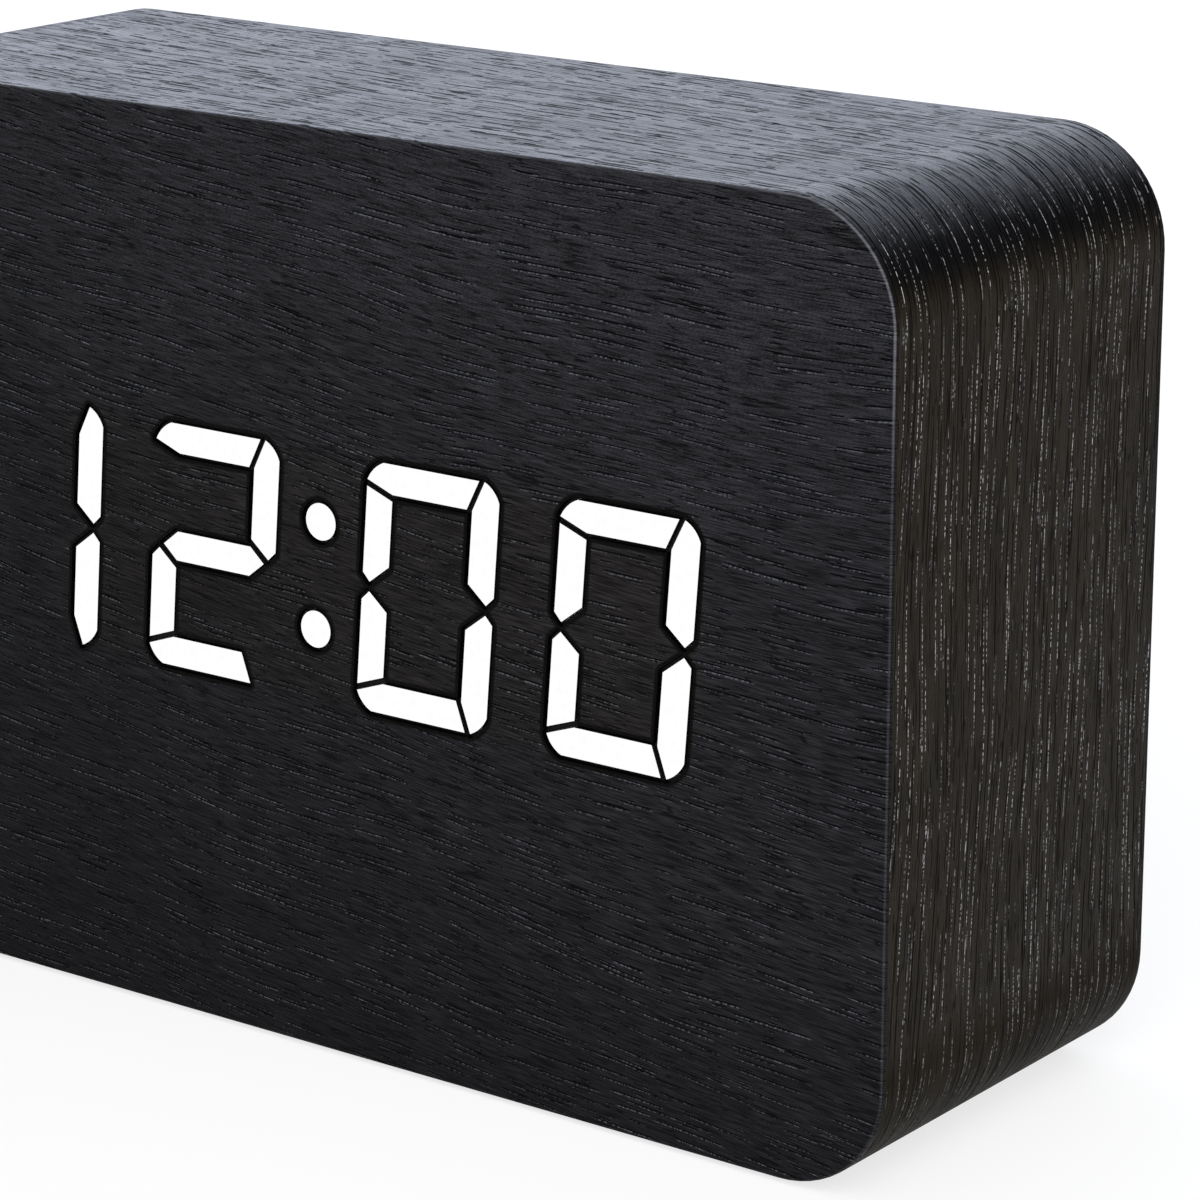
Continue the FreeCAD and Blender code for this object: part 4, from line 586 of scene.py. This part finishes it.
MATERIALS = {
    "black_plastic": plastic(
        "black_moulded_plastic", (0.009, 0.009, 0.010), (0.017, 0.017, 0.019),
        grain_size=0.4, relief=0.05, roughness=(0.4, 0.6)),
    "button_plastic": plastic(
        "button_plastic", (0.014, 0.014, 0.015), (0.020, 0.020, 0.022),
        grain_size=0.5, relief=0.006, roughness=(0.28, 0.36)),
    "white_plastic": plastic(
        "white_plastic", (0.72, 0.72, 0.70), (0.84, 0.84, 0.82),
        grain_size=0.4, relief=0.01, roughness=(0.4, 0.5)),
    "dark_segment": plastic("dark_segment", (0.55, 0.56, 0.58), (0.70, 0.71, 0.73)),
    "black_film": plastic(
        "black_film", (0.004, 0.004, 0.004), (0.007, 0.007, 0.007),
        grain_size=0.3, relief=0.003, roughness=(0.6, 0.75), level=0.15),
    "rubber_pad": plastic(
        "rubber_pad", (0.012, 0.012, 0.012), (0.022, 0.022, 0.022),
        grain_size=0.3, relief=0.03, roughness=(0.75, 0.9), level=0.3),
    "chip_black": plastic(
        "chip_black", (0.012, 0.012, 0.013), (0.022, 0.022, 0.024), grain_size=0.2, relief=0.01),
    "connector_plastic": plastic("connector_plastic", (0.60, 0.55, 0.42), (0.72, 0.68, 0.56)),
    "plunger_plastic": plastic("plunger_plastic", (0.20, 0.10, 0.04), (0.30, 0.16, 0.07)),
    "resistor_body": plastic(
        "resistor_body", (0.01, 0.01, 0.012), (0.05, 0.05, 0.06), grain_size=0.6),
    "capacitor_sleeve": plastic(
        "capacitor_sleeve", (0.01, 0.018, 0.05), (0.018, 0.03, 0.08),
        grain_size=1.0, relief=0.004, roughness=(0.2, 0.3)),
    "light_chip": plastic(
        "light_chip", (0.80, 0.74, 0.45), (0.90, 0.86, 0.62),
        grain_size=0.3, relief=0.004, roughness=(0.15, 0.25), level=0.5),
    "red_wire": plastic(
        "red_wire", (0.35, 0.012, 0.012), (0.48, 0.02, 0.018), grain_size=0.5, relief=0.004),
    "black_wire": plastic(
        "black_wire", (0.012, 0.012, 0.012), (0.02, 0.02, 0.02), grain_size=0.5, relief=0.004),
    "steel": metal("zinc_plated_steel", (0.42, 0.42, 0.44), (0.60, 0.60, 0.62)),
    "nickel": metal(
        "nickel_plate", (0.52, 0.50, 0.46), (0.70, 0.68, 0.63), roughness=(0.16, 0.28)),
    "fibreboard": fibreboard(),
    "circuit_board": circuit_board(),
    "ribbon_grey": ribbed_ribbon(),
    "lit_segment": glowing_lens(),
    "black_veneer": face_wood(),
}


def dress_nodes():
    """Give each CAD node the detailed material of its slot."""
    for entry in frame["record"]["subparts"]:
        node = frame["nodes"][entry["node"]]
        node.data.materials.clear()
        node.data.materials.append(MATERIALS[entry["material_slot"]])


# The veneer strip round the case

def outline_points(offset):
    """The rounded outline of the case, and the length along it, for a line inside it by an offset.

    The length is measured on the outer line, so the inner line gets the same lengths.
    """
    steps_per_corner = 32
    half_width = CASE_WIDTH / 2 - CORNER_RADIUS
    half_height = CASE_HEIGHT / 2 - CORNER_RADIUS
    arc_length = math.pi * CORNER_RADIUS / 2
    radius = CORNER_RADIUS - offset
    corners = (
        (half_width, -half_height, -90.0, 2 * half_height),
        (half_width, half_height, 0.0, 2 * half_width),
        (-half_width, half_height, 90.0, 2 * half_height),
        (-half_width, -half_height, 180.0, 2 * half_width),
    )
    points = []
    travelled = 0.0
    for centre_x, centre_z, start, straight in corners:
        for step in range(steps_per_corner + 1):
            angle = math.radians(start + 90.0 * step / steps_per_corner)
            points.append((
                centre_x + radius * math.cos(angle),
                CASE_MIDDLE_Z + centre_z + radius * math.sin(angle),
                travelled + arc_length * step / steps_per_corner))
        travelled += arc_length + straight
    return points, travelled


def make_wrap():
    """The wrap veneer as one smooth strip whose map follows the grain round the corners."""
    outer, total = outline_points(0.0)
    inner = outline_points(VENEER)[0]
    mesh = bpy.data.meshes.new("wrap_skin")
    shell = bmesh.new()
    grain_map = shell.loops.layers.uv.new("grain")
    rings = []
    for points, depth in (
            (outer, WRAP_FRONT), (outer, WRAP_BACK), (inner, WRAP_BACK), (inner, WRAP_FRONT)):
        rings.append([shell.verts.new((x * MM, depth * MM, z * MM)) for x, z, _ in points])
    count = len(outer)
    for ring in range(4):
        first = rings[ring]
        second = rings[(ring + 1) % 4]
        for index in range(count):
            after = (index + 1) % count
            face = shell.faces.new((first[index], first[after], second[after], second[index]))
            face.smooth = ring in (0, 2)
            start = outer[index][2]
            end = outer[after][2] if after else total
            for loop, length in zip(face.loops, (start, end, end, start)):
                loop[grain_map].uv = (length, loop.vert.co.y / MM)
    bmesh.ops.recalc_face_normals(shell, faces=shell.faces)
    for edge in shell.edges:
        edge.smooth = len({face.smooth for face in edge.link_faces}) == 1
    shell.to_mesh(mesh)
    shell.free()
    wrap = bpy.data.objects.new("wrap_skin", mesh)
    bpy.context.scene.collection.objects.link(wrap)
    mesh.materials.append(wrap_wood())
    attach(wrap, "case")
    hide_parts("wrap_veneer")


# The studio

def make_floor():
    """A wide white floor that keeps the clock's soft shadow under some light of its own."""
    own_light_share = 0.76
    half_side = 5.0
    corners = (
        (-half_side, -half_side, 0), (half_side, -half_side, 0),
        (half_side, half_side, 0), (-half_side, half_side, 0))
    floor_mesh = bpy.data.meshes.new("floor")
    floor_mesh.from_pydata(corners, [], [(0, 1, 2, 3)])
    floor = bpy.data.objects.new("floor", floor_mesh)
    bpy.context.scene.collection.objects.link(floor)
    r = Recipe("studio_floor")
    path = r.add("ShaderNodeLightPath")
    seen = r.larger(path.outputs["Is Camera Ray"], path.outputs["Is Glossy Ray"])
    seen = r.larger(seen, path.outputs["Is Transmission Ray"])
    paper = r.add("ShaderNodeBsdfDiffuse", {"Color": (0.95, 0.95, 0.95, 1.0)})
    glow = r.add("ShaderNodeEmission", {"Color": (1.0, 1.0, 1.0, 1.0), "Strength": 1.0})
    lifted = r.add(
        "ShaderNodeMixShader", {0: own_light_share, 1: paper.outputs[0], 2: glow.outputs[0]})
    both = r.add("ShaderNodeMixShader", {0: seen, 1: paper.outputs[0], 2: lifted.outputs[0]})
    r.add("ShaderNodeOutputMaterial", {0: both.outputs[0]})
    floor_mesh.materials.append(r.material)


def make_world():
    """Light from all round, stronger from the upper front."""
    world = bpy.data.worlds.new("studio")
    world.use_nodes = True
    bpy.context.scene.world = world
    tree = world.node_tree
    tree.nodes.clear()
    direction = tree.nodes.new("ShaderNodeTexCoord")
    facing = tree.nodes.new("ShaderNodeVectorMath")
    facing.operation = "DOT_PRODUCT"
    facing.inputs[1].default_value = (-0.20, -0.56, 0.80)
    level = tree.nodes.new("ShaderNodeMapRange")
    for key, given in (("From Min", -0.3), ("From Max", 1.0), ("To Min", 0.18), ("To Max", 0.6)):
        level.inputs[key].default_value = given
    lamp = tree.nodes.new("ShaderNodeBackground")
    lamp.inputs["Color"].default_value = (0.97, 0.985, 1.0, 1.0)
    output = tree.nodes.new("ShaderNodeOutputWorld")
    tree.links.new(direction.outputs["Generated"], facing.inputs[0])
    tree.links.new(facing.outputs["Value"], level.inputs["Value"])
    tree.links.new(level.outputs[0], lamp.inputs["Strength"])
    tree.links.new(lamp.outputs[0], output.inputs[0])


def place_lamp(name, lamp, spot, target):
    """Put a lamp that the camera doesn't see at a spot and point it at a target."""
    item = bpy.data.objects.new(name, lamp)
    bpy.context.scene.collection.objects.link(item)
    item.location = spot
    item.rotation_mode = "QUATERNION"
    item.rotation_quaternion = (Vector(target) - Vector(spot)).to_track_quat("-Z", "Y")
    item.visible_camera = False


def make_softbox(name, spot, target, width, height, power, color):
    """A rectangular lamp; its size is in metres and its power in watts."""
    lamp = bpy.data.lights.new(name, "AREA")
    lamp.shape = "RECTANGLE"
    lamp.size = width
    lamp.size_y = height
    lamp.energy = power
    lamp.color = color
    place_lamp(name, lamp, spot, target)


def make_lights():
    """A broad key from above, a near lamp at the front right and a cool softbox behind."""
    key = bpy.data.lights.new("key", "SUN")
    key.energy = 0.5
    key.angle = math.radians(70)
    key.color = (1.0, 0.99, 0.97)
    place_lamp("key", key, spot=(-0.35, -0.3, 1.0), target=(0, 0, 0))
    make_softbox(
        "front_lamp", spot=(0.28, -0.30, 0.34), target=(0.05, 0, 0.06),
        width=0.3, height=0.3, power=1.9, color=(1.0, 1.0, 1.0))
    make_softbox(
        "back_softbox", spot=(-0.50, 0.85, 0.50), target=(0, 0, 0.09),
        width=1.2, height=0.6, power=10.6, color=(0.78, 0.84, 1.0))


def make_camera():
    """The photograph's view."""
    camera = bpy.data.cameras.new("camera")
    camera.lens = FOCAL_LENGTH
    camera.sensor_width = SENSOR_WIDTH
    camera.clip_start = 0.01
    camera.clip_end = 20.0
    item = bpy.data.objects.new("camera", camera)
    bpy.context.scene.collection.objects.link(item)
    item.location = CAMERA_SPOT
    item.rotation_euler = (
        math.pi / 2 + math.radians(CAMERA_TILT), 0.0, math.radians(CAMERA_TURN))
    bpy.context.scene.camera = item


dress_nodes()
make_wrap()
make_floor()
make_world()
make_lights()
make_camera()

bpy.context.scene.view_settings.view_transform = "Standard"
